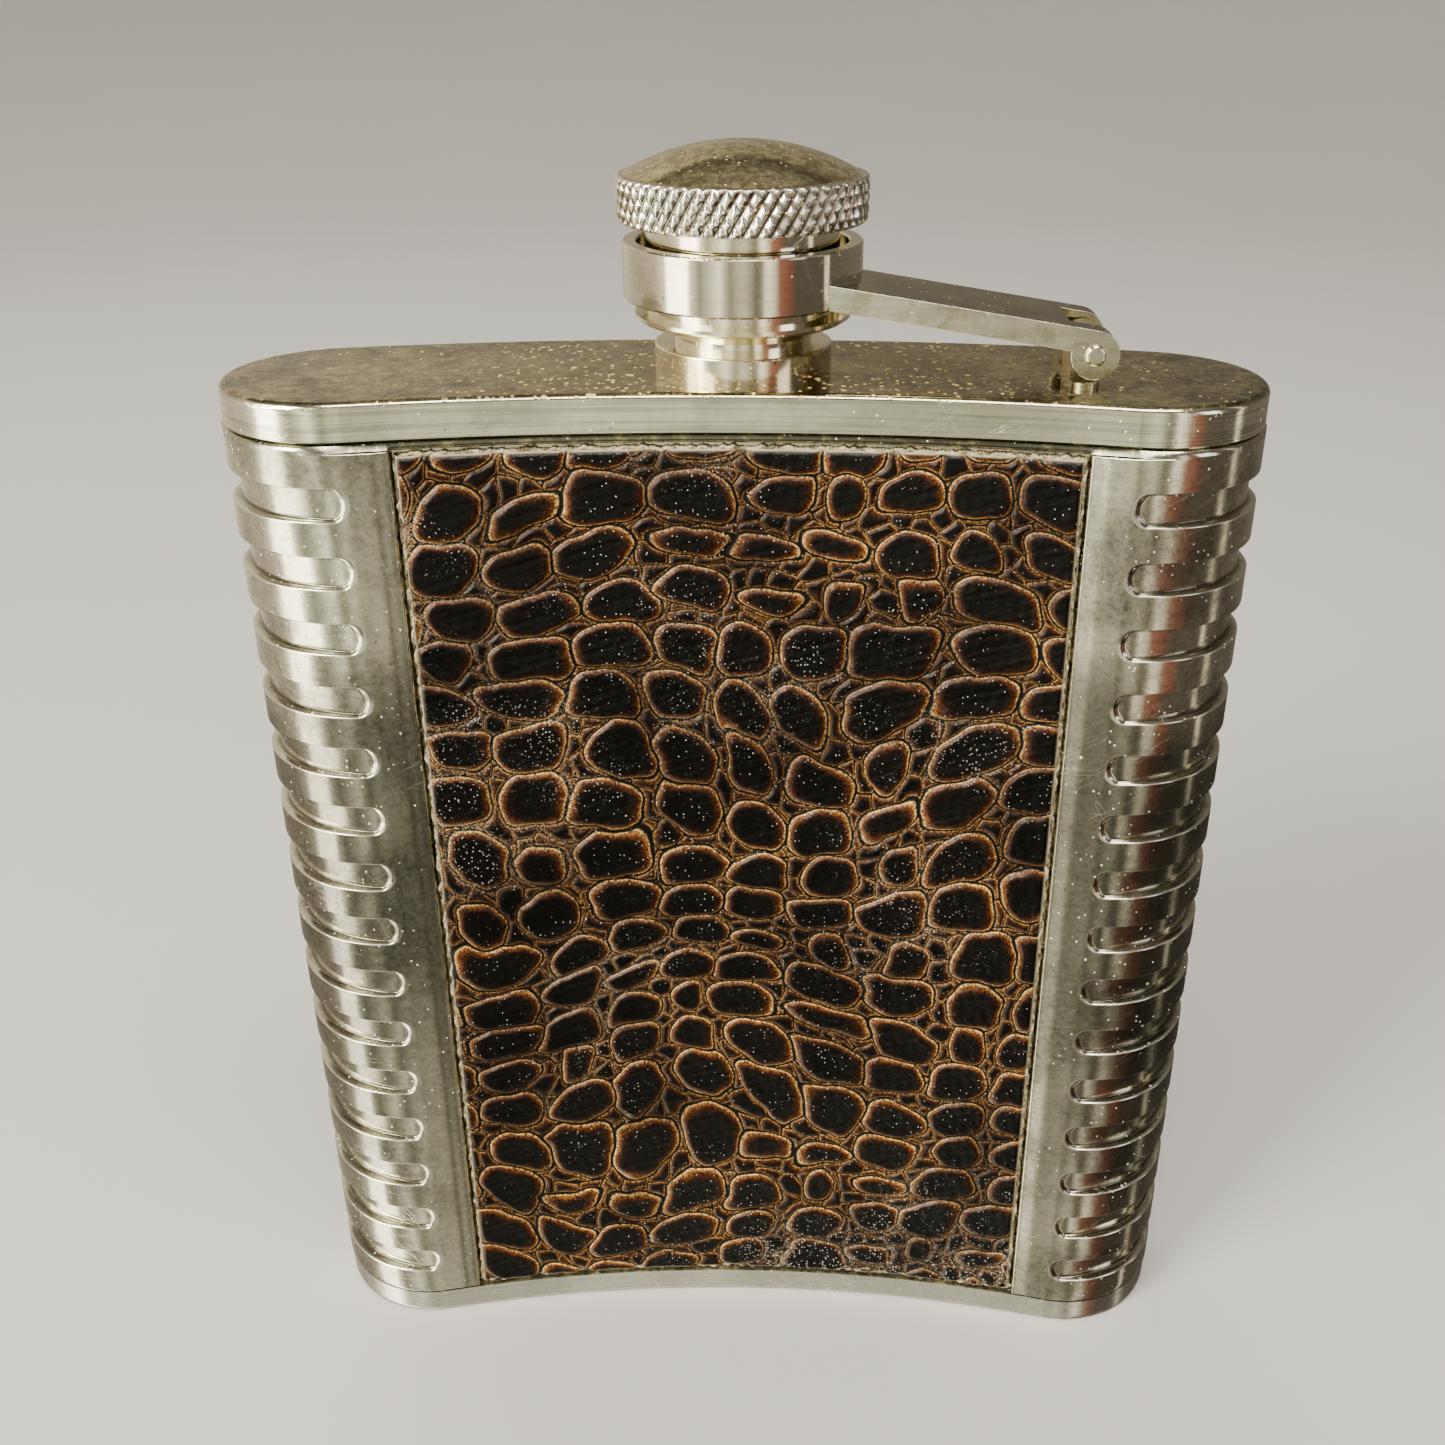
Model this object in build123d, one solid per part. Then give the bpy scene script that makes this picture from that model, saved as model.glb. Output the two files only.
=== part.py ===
"""Hip flask with a captive screw cap.

A kidney-section steel body with ribbed ends stands between a pressed lid and a pressed base.  A patterned
leather panel lies in a shallow recess on each broad face.  The cap screws onto a short neck and stays tied
to the lid by a loose ring on a hinged arm.

Millimetres.  +Z is up, +X is to the right of a person who faces the hollow (hip) side, and that side faces
-Y.  The origin is on the resting plane, on the bent centre line of the body, midway between its ends.
"""

from build123d import *
import math
import os

# ---- Driving dimensions -------------------------------------------------------------------------------
FLASK_WIDTH = 95.0
FLASK_DEPTH = 22.0            # thickness of the body, square to its bent centre line
FLASK_HEIGHT = 106.0          # resting plane to the flat top of the lid
BEND_RADIUS = 165.0           # of the body's centre line, seen from above
SHEET = 0.6                   # body sheet

LID_SKIRT = 3.4
LID_INSET = 0.15              # how far the lid's skirt stands inside the body's ribs
LID_THICKNESS = 0.8
BASE_RIM = 3.0
BASE_THICKNESS = 0.8
RIM_RADIUS = 0.7              # rounding of the lid's and the base's outer edges
SEAM_GAP = 1.0                # open channel between the lid's skirt and the top of the ribs
SPIGOT_CLEARANCE = 0.03       # between a pressed rim and the body end inside it

RIB_COUNT = 15
RIB_PITCH = 6.36
TOP_GROOVE_HEIGHT = 97.0      # centre of the highest groove above the resting plane
GROOVE_HEIGHT = 3.1
GROOVE_DEPTH = 0.85
GROOVE_END = 34.2             # each groove ends this far from the flask's middle

PANEL_RECESS = 1.0
PANEL_HALF_WIDTH = 30.4       # of the recess
BACKING_THICKNESS = 0.3
BACKING_MARGIN = 0.25         # recess edge to backing edge
LEATHER_THICKNESS = 0.9
LEATHER_MARGIN = 0.5          # recess edge to leather edge

COLLAR_RADIUS = 8.15
COLLAR_HEIGHT = 2.3
LAND_RADIUS = 6.3             # plain part of the neck, above the collar
LAND_TOP = 3.4                # above the lid
THREAD_RADIUS = 6.0
THREAD_PITCH = 1.0
THREAD_DEPTH = 0.45
NECK_TOP = 8.55               # above the lid
MOUTH_RADIUS = 4.7
NECK_HOLE_RADIUS = 6.0        # hole in the lid
NECK_FLANGE_RADIUS = 7.6      # inside the lid
NECK_FLANGE_THICKNESS = 0.8

CAP_RADIUS = 11.35
CAP_HEAD_BASE = 13.0          # these cap heights are above the lid
CAP_GRIP_TOP = 16.9
CAP_DOME_TOP = 19.65
CAP_WALL = 0.8
WAIST_RADIUS = 8.75
CAP_BORE_RADIUS = 6.45
CAP_BOTTOM = 3.3
RETAINER_TOP = 5.05
RETAINER_RADIUS = 9.85
BUSH_SPIGOT_RADIUS = 7.5
BUSH_SPIGOT_BOTTOM = 4.0
BUSH_FLANGE_THICKNESS = 1.2
GASKET_THICKNESS = 1.5
GASKET_LIFT = 0.03            # gap between the closed gasket and the neck's lip

RING_INNER_RADIUS = 9.55
RING_OUTER_RADIUS = 10.85
RING_BOTTOM = 6.35            # above the lid
RING_HEIGHT = 5.0

PIN_X = 31.1
PIN_ABOVE_LID = 2.7
PIN_RADIUS = 0.75
PIN_HEAD_RADIUS = 0.95
PIN_HEAD_HEIGHT = 0.45
PIN_RUNNING_CLEARANCE = 0.04
ARM_CENTRE_Y = -2.2           # the arm follows the bent centre line, so it lies off the cap's axis
ARM_WIDTH = 10.8
ARM_SHEET = 0.7
ARM_SLOPE = 9.0               # degrees, rising from the hinge to the ring
ARM_FLANGE = 2.1
EAR_RADIUS = 2.15
EAR_WRAP_END = -20.0          # degrees: where the web stops on its way round the ear
SLOT_WIDTH = 5.6
SLOT_START = 2.1              # from the pin towards the ring
KNUCKLE_RADIUS = 1.6
KNUCKLE_WIDTH = 5.0
FOOT_THICKNESS = 0.45
FOOT_LEFT, FOOT_RIGHT = 29.1, 31.7
FOOT_WIDTH = 12.6             # along the pin; the foot reaches out under both ears

# ---- Sizes that follow from them ----------------------------------------------------------------------
LID_TOP = FLASK_HEIGHT
SKIRT_BOTTOM = LID_TOP - LID_SKIRT
RIB_ZONE_TOP = SKIRT_BOTTOM - SEAM_GAP
RIB_ZONE_BOTTOM = BASE_RIM + 0.15
END_ANGLE = math.asin((FLASK_WIDTH - FLASK_DEPTH) / 2 / BEND_RADIUS)
PIN_Z = LID_TOP + PIN_ABOVE_LID
TOOL_REACH = FLASK_WIDTH      # longer than anything that a cutting solid has to pass through
TOLERANCE_LAP = 0.5           # cutting solids run this far past the faces they open


# ---- Shared shapes ------------------------------------------------------------------------------------
def kidney(inset):
    """The body's section, shrunk by inset all round: an arc thickened evenly, with half-round ends."""
    half = FLASK_DEPTH / 2 - inset
    centre = Vector(0, -BEND_RADIUS)

    def on_arc(radius, angle):
        return centre + Vector(radius * math.sin(angle), radius * math.cos(angle))

    def end_tip(side):
        along = Vector(side * math.cos(END_ANGLE), -math.sin(END_ANGLE))
        return on_arc(BEND_RADIUS, side * END_ANGLE) + along * half

    hollow, crown = BEND_RADIUS - half, BEND_RADIUS + half
    corners = {
        (side, radius): on_arc(radius, side * END_ANGLE) for side in (-1, 1) for radius in (hollow, crown)
    }
    edges = [
        ThreePointArc(corners[-1, hollow], on_arc(hollow, 0), corners[1, hollow]),
        ThreePointArc(corners[1, hollow], end_tip(1), corners[1, crown]),
        ThreePointArc(corners[1, crown], on_arc(crown, 0), corners[-1, crown]),
        ThreePointArc(corners[-1, crown], end_tip(-1), corners[-1, hollow]),
    ]
    return make_face(edges)


def kidney_block(inset, bottom, top):
    return extrude(Pos(0, 0, bottom) * kidney(inset), top - bottom)


def kidney_band(outer_inset, inner_inset, bottom, top):
    """The ring of material between two insets of the body's section."""
    inner = kidney_block(inner_inset, bottom - TOLERANCE_LAP, top + TOLERANCE_LAP)
    return kidney_block(outer_inset, bottom, top) - inner


def turned(*profile):
    """Revolves a closed outline of (radius, height above the lid) about the cap's axis."""
    points = [(radius, 0, LID_TOP + height) for radius, height in profile]
    return revolve(make_face(Polyline(*points, close=True)), Axis.Z)


def across(centre_y, width):
    """Selects what lies within width of centre_y, as a tall wide slab."""
    return Pos(0, centre_y, LID_TOP) * Box(TOOL_REACH * 2, width, TOOL_REACH)


def pin_cylinder(radius, near_y, far_y):
    """A cylinder along the hinge axis."""
    length = far_y - near_y
    return Pos(PIN_X, (near_y + far_y) / 2, PIN_Z) * Rot(90, 0, 0) * Cylinder(radius, length)


# ---- Body ---------------------------------------------------------------------------------------------
def groove_cutters(half_height, end_x):
    """Round-ended bars across both ends of the body, one pair for each groove."""
    reach = FLASK_WIDTH / 2 - end_x
    bars = []
    for index in range(RIB_COUNT):
        height = TOP_GROOVE_HEIGHT - index * RIB_PITCH
        for side in (-1, 1):
            start = side * (end_x + half_height)
            nose = Pos(start, height) * Circle(half_height)
            bar = Pos(start + side * reach / 2, height) * Rectangle(reach, 2 * half_height)
            bars.append(extrude(Plane.XZ * (nose + bar), FLASK_DEPTH, both=True))
    return Part() + bars


def panel_slab(side, half_width, bottom, top):
    """A block that covers one broad face (side -1 hollow, +1 crowned) within half_width of the middle."""
    depth = FLASK_DEPTH
    block = Box(2 * half_width, depth, top - bottom)
    return Pos(0, side * depth / 2, (bottom + top) / 2) * block


def body_shell():
    """One sheet: ribs pressed into both ends, a recess on each broad face and a reduced spigot at top and base."""
    spigot_inset = LID_INSET + LID_THICKNESS + SPIGOT_CLEARANCE
    spigot_bottom = BASE_THICKNESS + SPIGOT_CLEARANCE
    spigot_top = LID_TOP - LID_THICKNESS - SPIGOT_CLEARANCE

    def skin(offset):
        """The sheet's outer face at offset 0, its inner face at offset SHEET, both as solids."""
        overrun = TOLERANCE_LAP if offset else 0
        shape = kidney_block(spigot_inset + offset, spigot_bottom - overrun, spigot_top + overrun)
        shape += kidney_block(offset, RIB_ZONE_BOTTOM + offset, RIB_ZONE_TOP - offset)
        band = kidney_band(offset, GROOVE_DEPTH + offset, RIB_ZONE_BOTTOM + offset, RIB_ZONE_TOP - offset)
        shape -= band & groove_cutters(GROOVE_HEIGHT / 2 + offset, GROOVE_END - offset)
        band = kidney_band(offset, PANEL_RECESS + offset, RIB_ZONE_BOTTOM, RIB_ZONE_TOP)
        for side in (-1, 1):
            shape -= band & panel_slab(side, PANEL_HALF_WIDTH + offset, RIB_ZONE_BOTTOM, RIB_ZONE_TOP)
        return shape

    return skin(0) - skin(SHEET)


def top_lid():
    """Pressed cap with a rounded edge and a hole for the neck."""
    lid = kidney_block(LID_INSET, SKIRT_BOTTOM, LID_TOP)
    lid = fillet(lid.faces().sort_by(Axis.Z)[-1].edges(), RIM_RADIUS)
    lid -= kidney_block(LID_INSET + LID_THICKNESS, SKIRT_BOTTOM - TOLERANCE_LAP, LID_TOP - LID_THICKNESS)
    return lid - Pos(0, 0, LID_TOP) * Cylinder(NECK_HOLE_RADIUS, 4 * LID_THICKNESS)


def base_pan():
    """Pressed base with a rounded resting edge."""
    pan = kidney_block(LID_INSET, 0, BASE_RIM)
    pan = fillet(pan.faces().sort_by(Axis.Z)[0].edges(), RIM_RADIUS)
    return pan - kidney_block(LID_INSET + LID_THICKNESS, BASE_THICKNESS, BASE_RIM + TOLERANCE_LAP)


# ---- Leather panels -----------------------------------------------------------------------------------
def panel_layer(side, margin, floor_inset, thickness):
    """One layer of a face covering, margin inside the recess, its underside floor_inset below the ribs."""
    bottom, top = RIB_ZONE_BOTTOM + margin, RIB_ZONE_TOP - margin
    layer = kidney_band(floor_inset - thickness, floor_inset, bottom, top)
    return layer & panel_slab(side, PANEL_HALF_WIDTH - margin, bottom, top)


def backing(side):
    return panel_layer(side, BACKING_MARGIN, PANEL_RECESS, BACKING_THICKNESS)


def leather(side):
    return panel_layer(side, LEATHER_MARGIN, PANEL_RECESS - BACKING_THICKNESS, LEATHER_THICKNESS)


# ---- Neck ---------------------------------------------------------------------------------------------
def thread_profile(crest, root, bottom, top):
    """Points down a row of thread crests, from top to bottom."""
    turns = int((top - bottom) / THREAD_PITCH)
    points = []
    for turn in range(turns):
        height = top - turn * THREAD_PITCH
        points += [
            (root, height),
            (crest, height - THREAD_PITCH * 0.4),
            (crest, height - THREAD_PITCH * 0.6),
            (root, height - THREAD_PITCH),
        ]
    return [p for i, p in enumerate(points) if i == 0 or p != points[i - 1]]


def neck_tube():
    """Threaded spout.  Its inner flange bears on the underside of the lid."""
    bore, root = MOUTH_RADIUS, THREAD_RADIUS - THREAD_DEPTH
    under_lid = -LID_THICKNESS
    flange_bottom = under_lid - NECK_FLANGE_THICKNESS
    return turned(
        (bore, NECK_TOP),
        (root, NECK_TOP),
        *thread_profile(THREAD_RADIUS, root, LAND_TOP, NECK_TOP - 0.4),
        (root, LAND_TOP),
        (LAND_RADIUS, LAND_TOP),
        (LAND_RADIUS, COLLAR_HEIGHT - 0.6),
        (NECK_HOLE_RADIUS, COLLAR_HEIGHT - 0.6),
        (NECK_HOLE_RADIUS, under_lid),
        (NECK_FLANGE_RADIUS, under_lid),
        (NECK_FLANGE_RADIUS, flange_bottom),
        (bore, flange_bottom),
    )


def neck_collar():
    """Ring brazed to the lid round the foot of the neck."""
    collar = turned(
        (NECK_HOLE_RADIUS, 0),
        (COLLAR_RADIUS, 0),
        (COLLAR_RADIUS, COLLAR_HEIGHT),
        (LAND_RADIUS, COLLAR_HEIGHT),
        (LAND_RADIUS, COLLAR_HEIGHT - 0.6),
        (NECK_HOLE_RADIUS, COLLAR_HEIGHT - 0.6),
    )
    rim = collar.edges().filter_by(GeomType.CIRCLE).filter_by(lambda e: abs(e.radius - COLLAR_RADIUS) < 1e-6)
    return fillet(rim.sort_by(Axis.Z)[-1:], 0.2)


# ---- Cap ----------------------------------------------------------------------------------------------
def dome(edge_radius, edge_height, top_height):
    """A spherical cap standing on the circle of edge_radius at edge_height above the lid."""
    rise = top_height - edge_height
    sphere_radius = (edge_radius**2 + rise**2) / (2 * rise)
    ball = Pos(0, 0, LID_TOP + top_height - sphere_radius) * Sphere(sphere_radius)
    slab_height = 2 * rise
    slab = Pos(0, 0, LID_TOP + edge_height + slab_height / 2) * Cylinder(2 * edge_radius, slab_height)
    return ball & slab


def cap_shell():
    """Domed cover with a grip band."""
    inner = CAP_RADIUS - CAP_WALL
    outside = turned((0, CAP_HEAD_BASE), (CAP_RADIUS, CAP_HEAD_BASE), (CAP_RADIUS, CAP_GRIP_TOP), (0, CAP_GRIP_TOP))
    outside += dome(CAP_RADIUS - 0.2, CAP_GRIP_TOP, CAP_DOME_TOP)
    inside = turned((0, CAP_HEAD_BASE), (inner, CAP_HEAD_BASE), (inner, CAP_GRIP_TOP), (0, CAP_GRIP_TOP))
    inside += dome(inner, CAP_GRIP_TOP, CAP_DOME_TOP - CAP_WALL)
    return outside - inside


def cap_bush():
    """Waist of the cap: a flange that closes the shell, and a tube with the inner thread."""
    flange_radius = CAP_RADIUS - CAP_WALL
    flange_top = CAP_HEAD_BASE + BUSH_FLANGE_THICKNESS
    seat = NECK_TOP + GASKET_LIFT + GASKET_THICKNESS
    thread_top = NECK_TOP - 0.3
    thread = thread_profile(CAP_BORE_RADIUS, CAP_BORE_RADIUS + THREAD_DEPTH, BUSH_SPIGOT_BOTTOM, thread_top)
    return turned(
        (0, flange_top),
        (0, seat),
        (CAP_BORE_RADIUS, seat),
        (CAP_BORE_RADIUS, thread_top),
        *thread,
        (CAP_BORE_RADIUS, thread[-1][1]),
        (CAP_BORE_RADIUS, BUSH_SPIGOT_BOTTOM),
        (BUSH_SPIGOT_RADIUS, BUSH_SPIGOT_BOTTOM),
        (BUSH_SPIGOT_RADIUS, RETAINER_TOP),
        (WAIST_RADIUS, RETAINER_TOP),
        (WAIST_RADIUS, CAP_HEAD_BASE),
        (flange_radius, CAP_HEAD_BASE),
        (flange_radius, flange_top),
    )


def retaining_flange():
    """Bell-shaped washer pressed on the bush's foot: wider than the ring's hole, so the ring can't drop off."""
    return turned(
        (BUSH_SPIGOT_RADIUS, RETAINER_TOP),
        (RETAINER_RADIUS, RETAINER_TOP),
        (RETAINER_RADIUS, RETAINER_TOP - 0.35),
        (RETAINER_RADIUS - 0.45, RETAINER_TOP - 0.65),
        (CAP_BORE_RADIUS + 0.4, CAP_BOTTOM),
        (CAP_BORE_RADIUS, CAP_BOTTOM),
        (CAP_BORE_RADIUS, BUSH_SPIGOT_BOTTOM),
        (BUSH_SPIGOT_RADIUS, BUSH_SPIGOT_BOTTOM),
    )


def cap_gasket():
    """Soft disc between the neck's lip and the closed end of the bush."""
    bottom = NECK_TOP + GASKET_LIFT
    radius = CAP_BORE_RADIUS - 0.05
    return turned((0, bottom), (radius, bottom), (radius, bottom + GASKET_THICKNESS - 0.02),
                  (0, bottom + GASKET_THICKNESS - 0.02))


# ---- Arm, ring and hinge ------------------------------------------------------------------------------
def captive_ring():
    """Strap ring that hangs loosely round the waist of the cap."""
    top = RING_BOTTOM + RING_HEIGHT
    ring = turned(
        (RING_INNER_RADIUS, RING_BOTTOM), (RING_OUTER_RADIUS, RING_BOTTOM),
        (RING_OUTER_RADIUS, top), (RING_INNER_RADIUS, top),
    )
    return chamfer(ring.edges().filter_by(GeomType.CIRCLE), 0.15)


def arm_outline(depth_of_strip, ear_radius):
    """Side view of the arm, from the ring's axis to the ear, as a face in the hinge's own frame."""
    slope = math.radians(ARM_SLOPE)
    length = (PIN_X + TOLERANCE_LAP) / math.cos(slope)
    strip = Rot(0, 0, -ARM_SLOPE) * Pos(-length / 2, EAR_RADIUS - depth_of_strip / 2) * Rectangle(length, depth_of_strip)
    return strip + Circle(ear_radius)


def hinge_plane():
    """Looks along +Y at the hinge: sketch x is the flask's x, sketch y is its z."""
    return Plane(origin=(PIN_X, ARM_CENTRE_Y, PIN_Z), x_dir=(1, 0, 0), z_dir=(0, -1, 0))


def arm_channel():
    """Folded channel: web on top, two flanges that end in ears, the web carried round the ears' noses."""
    plane = hinge_plane()
    outside = extrude(plane * arm_outline(ARM_FLANGE, EAR_RADIUS), ARM_WIDTH / 2, both=True)
    web = arm_outline(ARM_SHEET, EAR_RADIUS) - Circle(EAR_RADIUS - ARM_SHEET)
    wrap_angle = 90 + ARM_SLOPE - EAR_WRAP_END
    sweep_limit = Rot(0, 0, EAR_WRAP_END) * (Pos(0, 0) * pie(2 * EAR_RADIUS, wrap_angle))
    nose_web = (Circle(EAR_RADIUS) - Circle(EAR_RADIUS - ARM_SHEET)) & sweep_limit
    strip_web = web & (Pos(-PIN_X, 0) * Rectangle(2 * PIN_X, 4 * FLASK_DEPTH))
    strip_web -= Circle(EAR_RADIUS - ARM_SHEET)
    below = Rot(0, 0, -ARM_SLOPE) * Pos(0, -TOOL_REACH / 2 + EAR_RADIUS - ARM_SHEET) * Rectangle(2 * TOOL_REACH, TOOL_REACH)
    kept = nose_web + (strip_web - below)
    inside_width = ARM_WIDTH - 2 * ARM_SHEET
    inside = extrude(plane * (arm_outline(ARM_FLANGE + TOLERANCE_LAP, EAR_RADIUS + TOLERANCE_LAP) - kept),
                     inside_width / 2, both=True)
    arm = outside - inside
    slot_length = SLOT_START + EAR_RADIUS + TOLERANCE_LAP
    slot = Pos(PIN_X - SLOT_START + slot_length / 2, ARM_CENTRE_Y, PIN_Z) * Box(slot_length, SLOT_WIDTH, TOOL_REACH / 4)
    arm -= slot
    arm -= Pos(0, 0, LID_TOP) * Cylinder(RING_OUTER_RADIUS, TOOL_REACH)
    return arm - pin_cylinder(PIN_RADIUS, -FLASK_DEPTH, FLASK_DEPTH)


def pie(radius, angle):
    """A sector of a disc, from the x axis round to angle degrees."""
    arc = CenterArc((0, 0), radius, 0, angle)
    return make_face([Line((0, 0), arc @ 0), arc, Line(arc @ 1, (0, 0))])


def hinge_pin():
    """Rivet through the ears and the knuckle, with a low head at each end."""
    near, far = ARM_CENTRE_Y - ARM_WIDTH / 2, ARM_CENTRE_Y + ARM_WIDTH / 2
    pin = pin_cylinder(PIN_RADIUS, near - PIN_HEAD_HEIGHT, far + PIN_HEAD_HEIGHT)
    pin += pin_cylinder(PIN_HEAD_RADIUS, near - PIN_HEAD_HEIGHT, near)
    pin += pin_cylinder(PIN_HEAD_RADIUS, far, far + PIN_HEAD_HEIGHT)
    ends = pin.faces().sort_by(Axis.Y)
    return fillet(ends[0].edges() + ends[-1].edges(), 0.35)


def hinge_bracket():
    """Knuckle on a narrow leg, which stands on a long round-ended foot on the lid."""
    foot_top = FOOT_THICKNESS - PIN_ABOVE_LID
    flank = KNUCKLE_RADIUS * 0.9
    leg = make_face(Polyline(
        (FOOT_LEFT - PIN_X + 0.4, foot_top - 0.1), (-flank, -0.4), (0, KNUCKLE_RADIUS * 0.5),
        (flank, -0.4), (FOOT_RIGHT - PIN_X, foot_top - 0.1), close=True,
    ))
    bracket = extrude(hinge_plane() * (Circle(KNUCKLE_RADIUS) + leg), KNUCKLE_WIDTH / 2, both=True)
    foot_breadth = FOOT_RIGHT - FOOT_LEFT
    outline = SlotOverall(FOOT_WIDTH, foot_breadth, rotation=90)
    foot_plan = Pos((FOOT_LEFT + FOOT_RIGHT) / 2, ARM_CENTRE_Y, LID_TOP) * outline
    bracket += extrude(foot_plan, FOOT_THICKNESS)
    return bracket - pin_cylinder(PIN_RADIUS + PIN_RUNNING_CLEARANCE, -FLASK_DEPTH, FLASK_DEPTH)


# ---- Assembly -----------------------------------------------------------------------------------------
HIP_SIDE, OUTER_SIDE = -1, 1

NODES = {
    "body_shell": body_shell,
    "top_lid": top_lid,
    "base_pan": base_pan,
    "hip_side_backing": lambda: backing(HIP_SIDE),
    "hip_side_leather": lambda: leather(HIP_SIDE),
    "outer_side_backing": lambda: backing(OUTER_SIDE),
    "outer_side_leather": lambda: leather(OUTER_SIDE),
    "neck_tube": neck_tube,
    "neck_collar": neck_collar,
    "hinge_bracket": hinge_bracket,
    "arm_channel": arm_channel,
    "captive_ring": captive_ring,
    "hinge_pin": hinge_pin,
    "cap_shell": cap_shell,
    "cap_bush": cap_bush,
    "retaining_flange": retaining_flange,
    "cap_gasket": cap_gasket,
}

os.makedirs("parts", exist_ok=True)
for name, build in NODES.items():
    shape = build()
    shape.label = name
    export_step(shape, f"parts/{name}.step")
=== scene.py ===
"""Looks of the hip flask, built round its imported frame.

The steel body, the leather faces, their cloth backings and the knurled cap are rebuilt as fine meshes that
stand for the plainer solids.  Every other solid keeps its shape and gets a worn-steel finish.

Lengths in the constants are millimetres.  Meshes are in metres, like the frame.
"""

import math

import bpy
import numpy as np
from mathutils import Matrix, Vector


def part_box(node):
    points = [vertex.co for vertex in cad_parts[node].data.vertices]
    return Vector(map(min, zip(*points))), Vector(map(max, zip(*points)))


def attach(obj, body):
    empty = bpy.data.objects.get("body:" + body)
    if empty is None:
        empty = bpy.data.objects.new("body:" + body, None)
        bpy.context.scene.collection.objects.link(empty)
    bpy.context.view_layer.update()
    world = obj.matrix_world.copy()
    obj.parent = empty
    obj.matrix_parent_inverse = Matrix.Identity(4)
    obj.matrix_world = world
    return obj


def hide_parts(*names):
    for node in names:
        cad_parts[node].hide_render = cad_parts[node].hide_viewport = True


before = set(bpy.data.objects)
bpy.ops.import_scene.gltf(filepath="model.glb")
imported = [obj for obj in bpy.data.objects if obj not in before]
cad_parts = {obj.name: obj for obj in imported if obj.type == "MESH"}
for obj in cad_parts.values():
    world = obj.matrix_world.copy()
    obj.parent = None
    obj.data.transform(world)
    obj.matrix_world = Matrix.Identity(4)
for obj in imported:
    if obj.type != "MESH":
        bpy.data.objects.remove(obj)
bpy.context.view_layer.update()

# ---- The flask's own dimensions, in millimetres --------------------------------------------------------
MM = 0.001
FLASK_WIDTH = 95.0
FLASK_DEPTH = 22.0
BEND_RADIUS = 165.0
SHEET = 0.6
END_ANGLE = math.asin((FLASK_WIDTH - FLASK_DEPTH) / 2 / BEND_RADIUS)

LID_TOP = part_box("top_lid")[1].z / MM
SKIRT_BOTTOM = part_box("top_lid")[0].z / MM
BASE_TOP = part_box("base_pan")[1].z / MM
SPIGOT_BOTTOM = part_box("body_shell")[0].z / MM
SPIGOT_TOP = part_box("body_shell")[1].z / MM
SPIGOT_INSET = 0.98
RIB_ZONE_TOP = SKIRT_BOTTOM - 1.0
RIB_ZONE_BOTTOM = BASE_TOP + 0.15
RIB_EDGE_RADIUS = 0.3
SHOULDER_INSET = 0.42         # the strip of body that shows between the ribbed zone and the lid
SHOULDER_TOP = SKIRT_BOTTOM - 0.35
FLUSH_FROM, FLUSH_AT = 33.0, 39.0    # |x| where that strip starts to come up, and where it is flush

RIB_COUNT = 15
RIB_PITCH = 6.36
TOP_GROOVE_HEIGHT = 97.0
GROOVE_HALF_HEIGHT = 1.55
GROOVE_DEPTH = 0.85
GROOVE_END = 34.2
GROOVE_WALL = 0.20            # width of the wall at a groove's rim

PANEL_RECESS = 1.0
PANEL_HALF_WIDTH = 30.4
BACKING_THICKNESS = 0.3
LEATHER_TOP_INSET = -0.2
HIP_SIDE, OUTER_SIDE = -1, 1

HINGE_FOOT = (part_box("hinge_bracket")[0].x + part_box("hinge_bracket")[1].x) / 2 / MM    # along X
CAP_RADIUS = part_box("cap_shell")[1].x / MM
CAP_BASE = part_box("cap_shell")[0].z / MM
CAP_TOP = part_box("cap_shell")[1].z / MM
GRIP_HEIGHT = 3.9
GRIP_TOP = CAP_BASE + GRIP_HEIGHT
CAP_WALL = 0.8
KNURL_COLUMNS = 57
KNURL_ROWS = 4
KNURL_DEPTH = 0.42
KNURL_STEPS = 12              # mesh columns to one column of the knurl
DOME_ROWS = 46                # mesh rows from the dome's foot to its top

LEATHER_TRIM = 0.05           # the scaled sheet's cut edge, inside the plain solid's
LEATHER_GRIDS = {HIP_SIDE: 0.125, OUTER_SIDE: 0.19}    # spacing of the relief's grid
LEATHER_RELIEF = 0.42
ROW_PITCH, COLUMN_PITCH = 5.35, 6.9     # of the large scales
FILLER_PITCH = 2.5                      # of the small scales between them
FRAY_GRID = 0.22
FINE_STEPS = 20001            # places at which adaptive_samples measures the spacing

# ---- Colours -------------------------------------------------------------------------------------------
GOLDEN_DUST = (0.96, 0.72, 0.27, 1)
PALE_DUST = (0.86, 0.82, 0.74, 1)
GRIME = (0.30, 0.20, 0.08, 1)
CUT_EDGE = (0.50, 0.41, 0.27, 1)
CREASE_DUST = (0.30, 0.25, 0.18, 1)
# painted highlight along the grooves' lips
PAINTED_LIP_HIGHLIGHT = (0.96, 0.92, 0.78, 1)
# edge wear, with a painted highlight along sharp edges
WORN_EDGE_AND_HIGHLIGHT = (0.93, 0.89, 0.76, 1)
# painted shade in the corners inside the grooves' walls
PAINTED_CORNER_SHADE = (0.055, 0.048, 0.032, 1)
KNURL_DIRT = (0.07, 0.052, 0.03, 1)
ARM_DIRT = (0.34, 0.28, 0.15, 1)
NECK_GRIME = (0.038, 0.014)   # metres from the neck's axis where grime on the lid ends, and where it is full
HINGE_GRIME = (0.0060, 0.0030)    # the same round the hinge's foot
SCALE_REACH = 1.3             # how far in from a scale's edge its last colour starts
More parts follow.
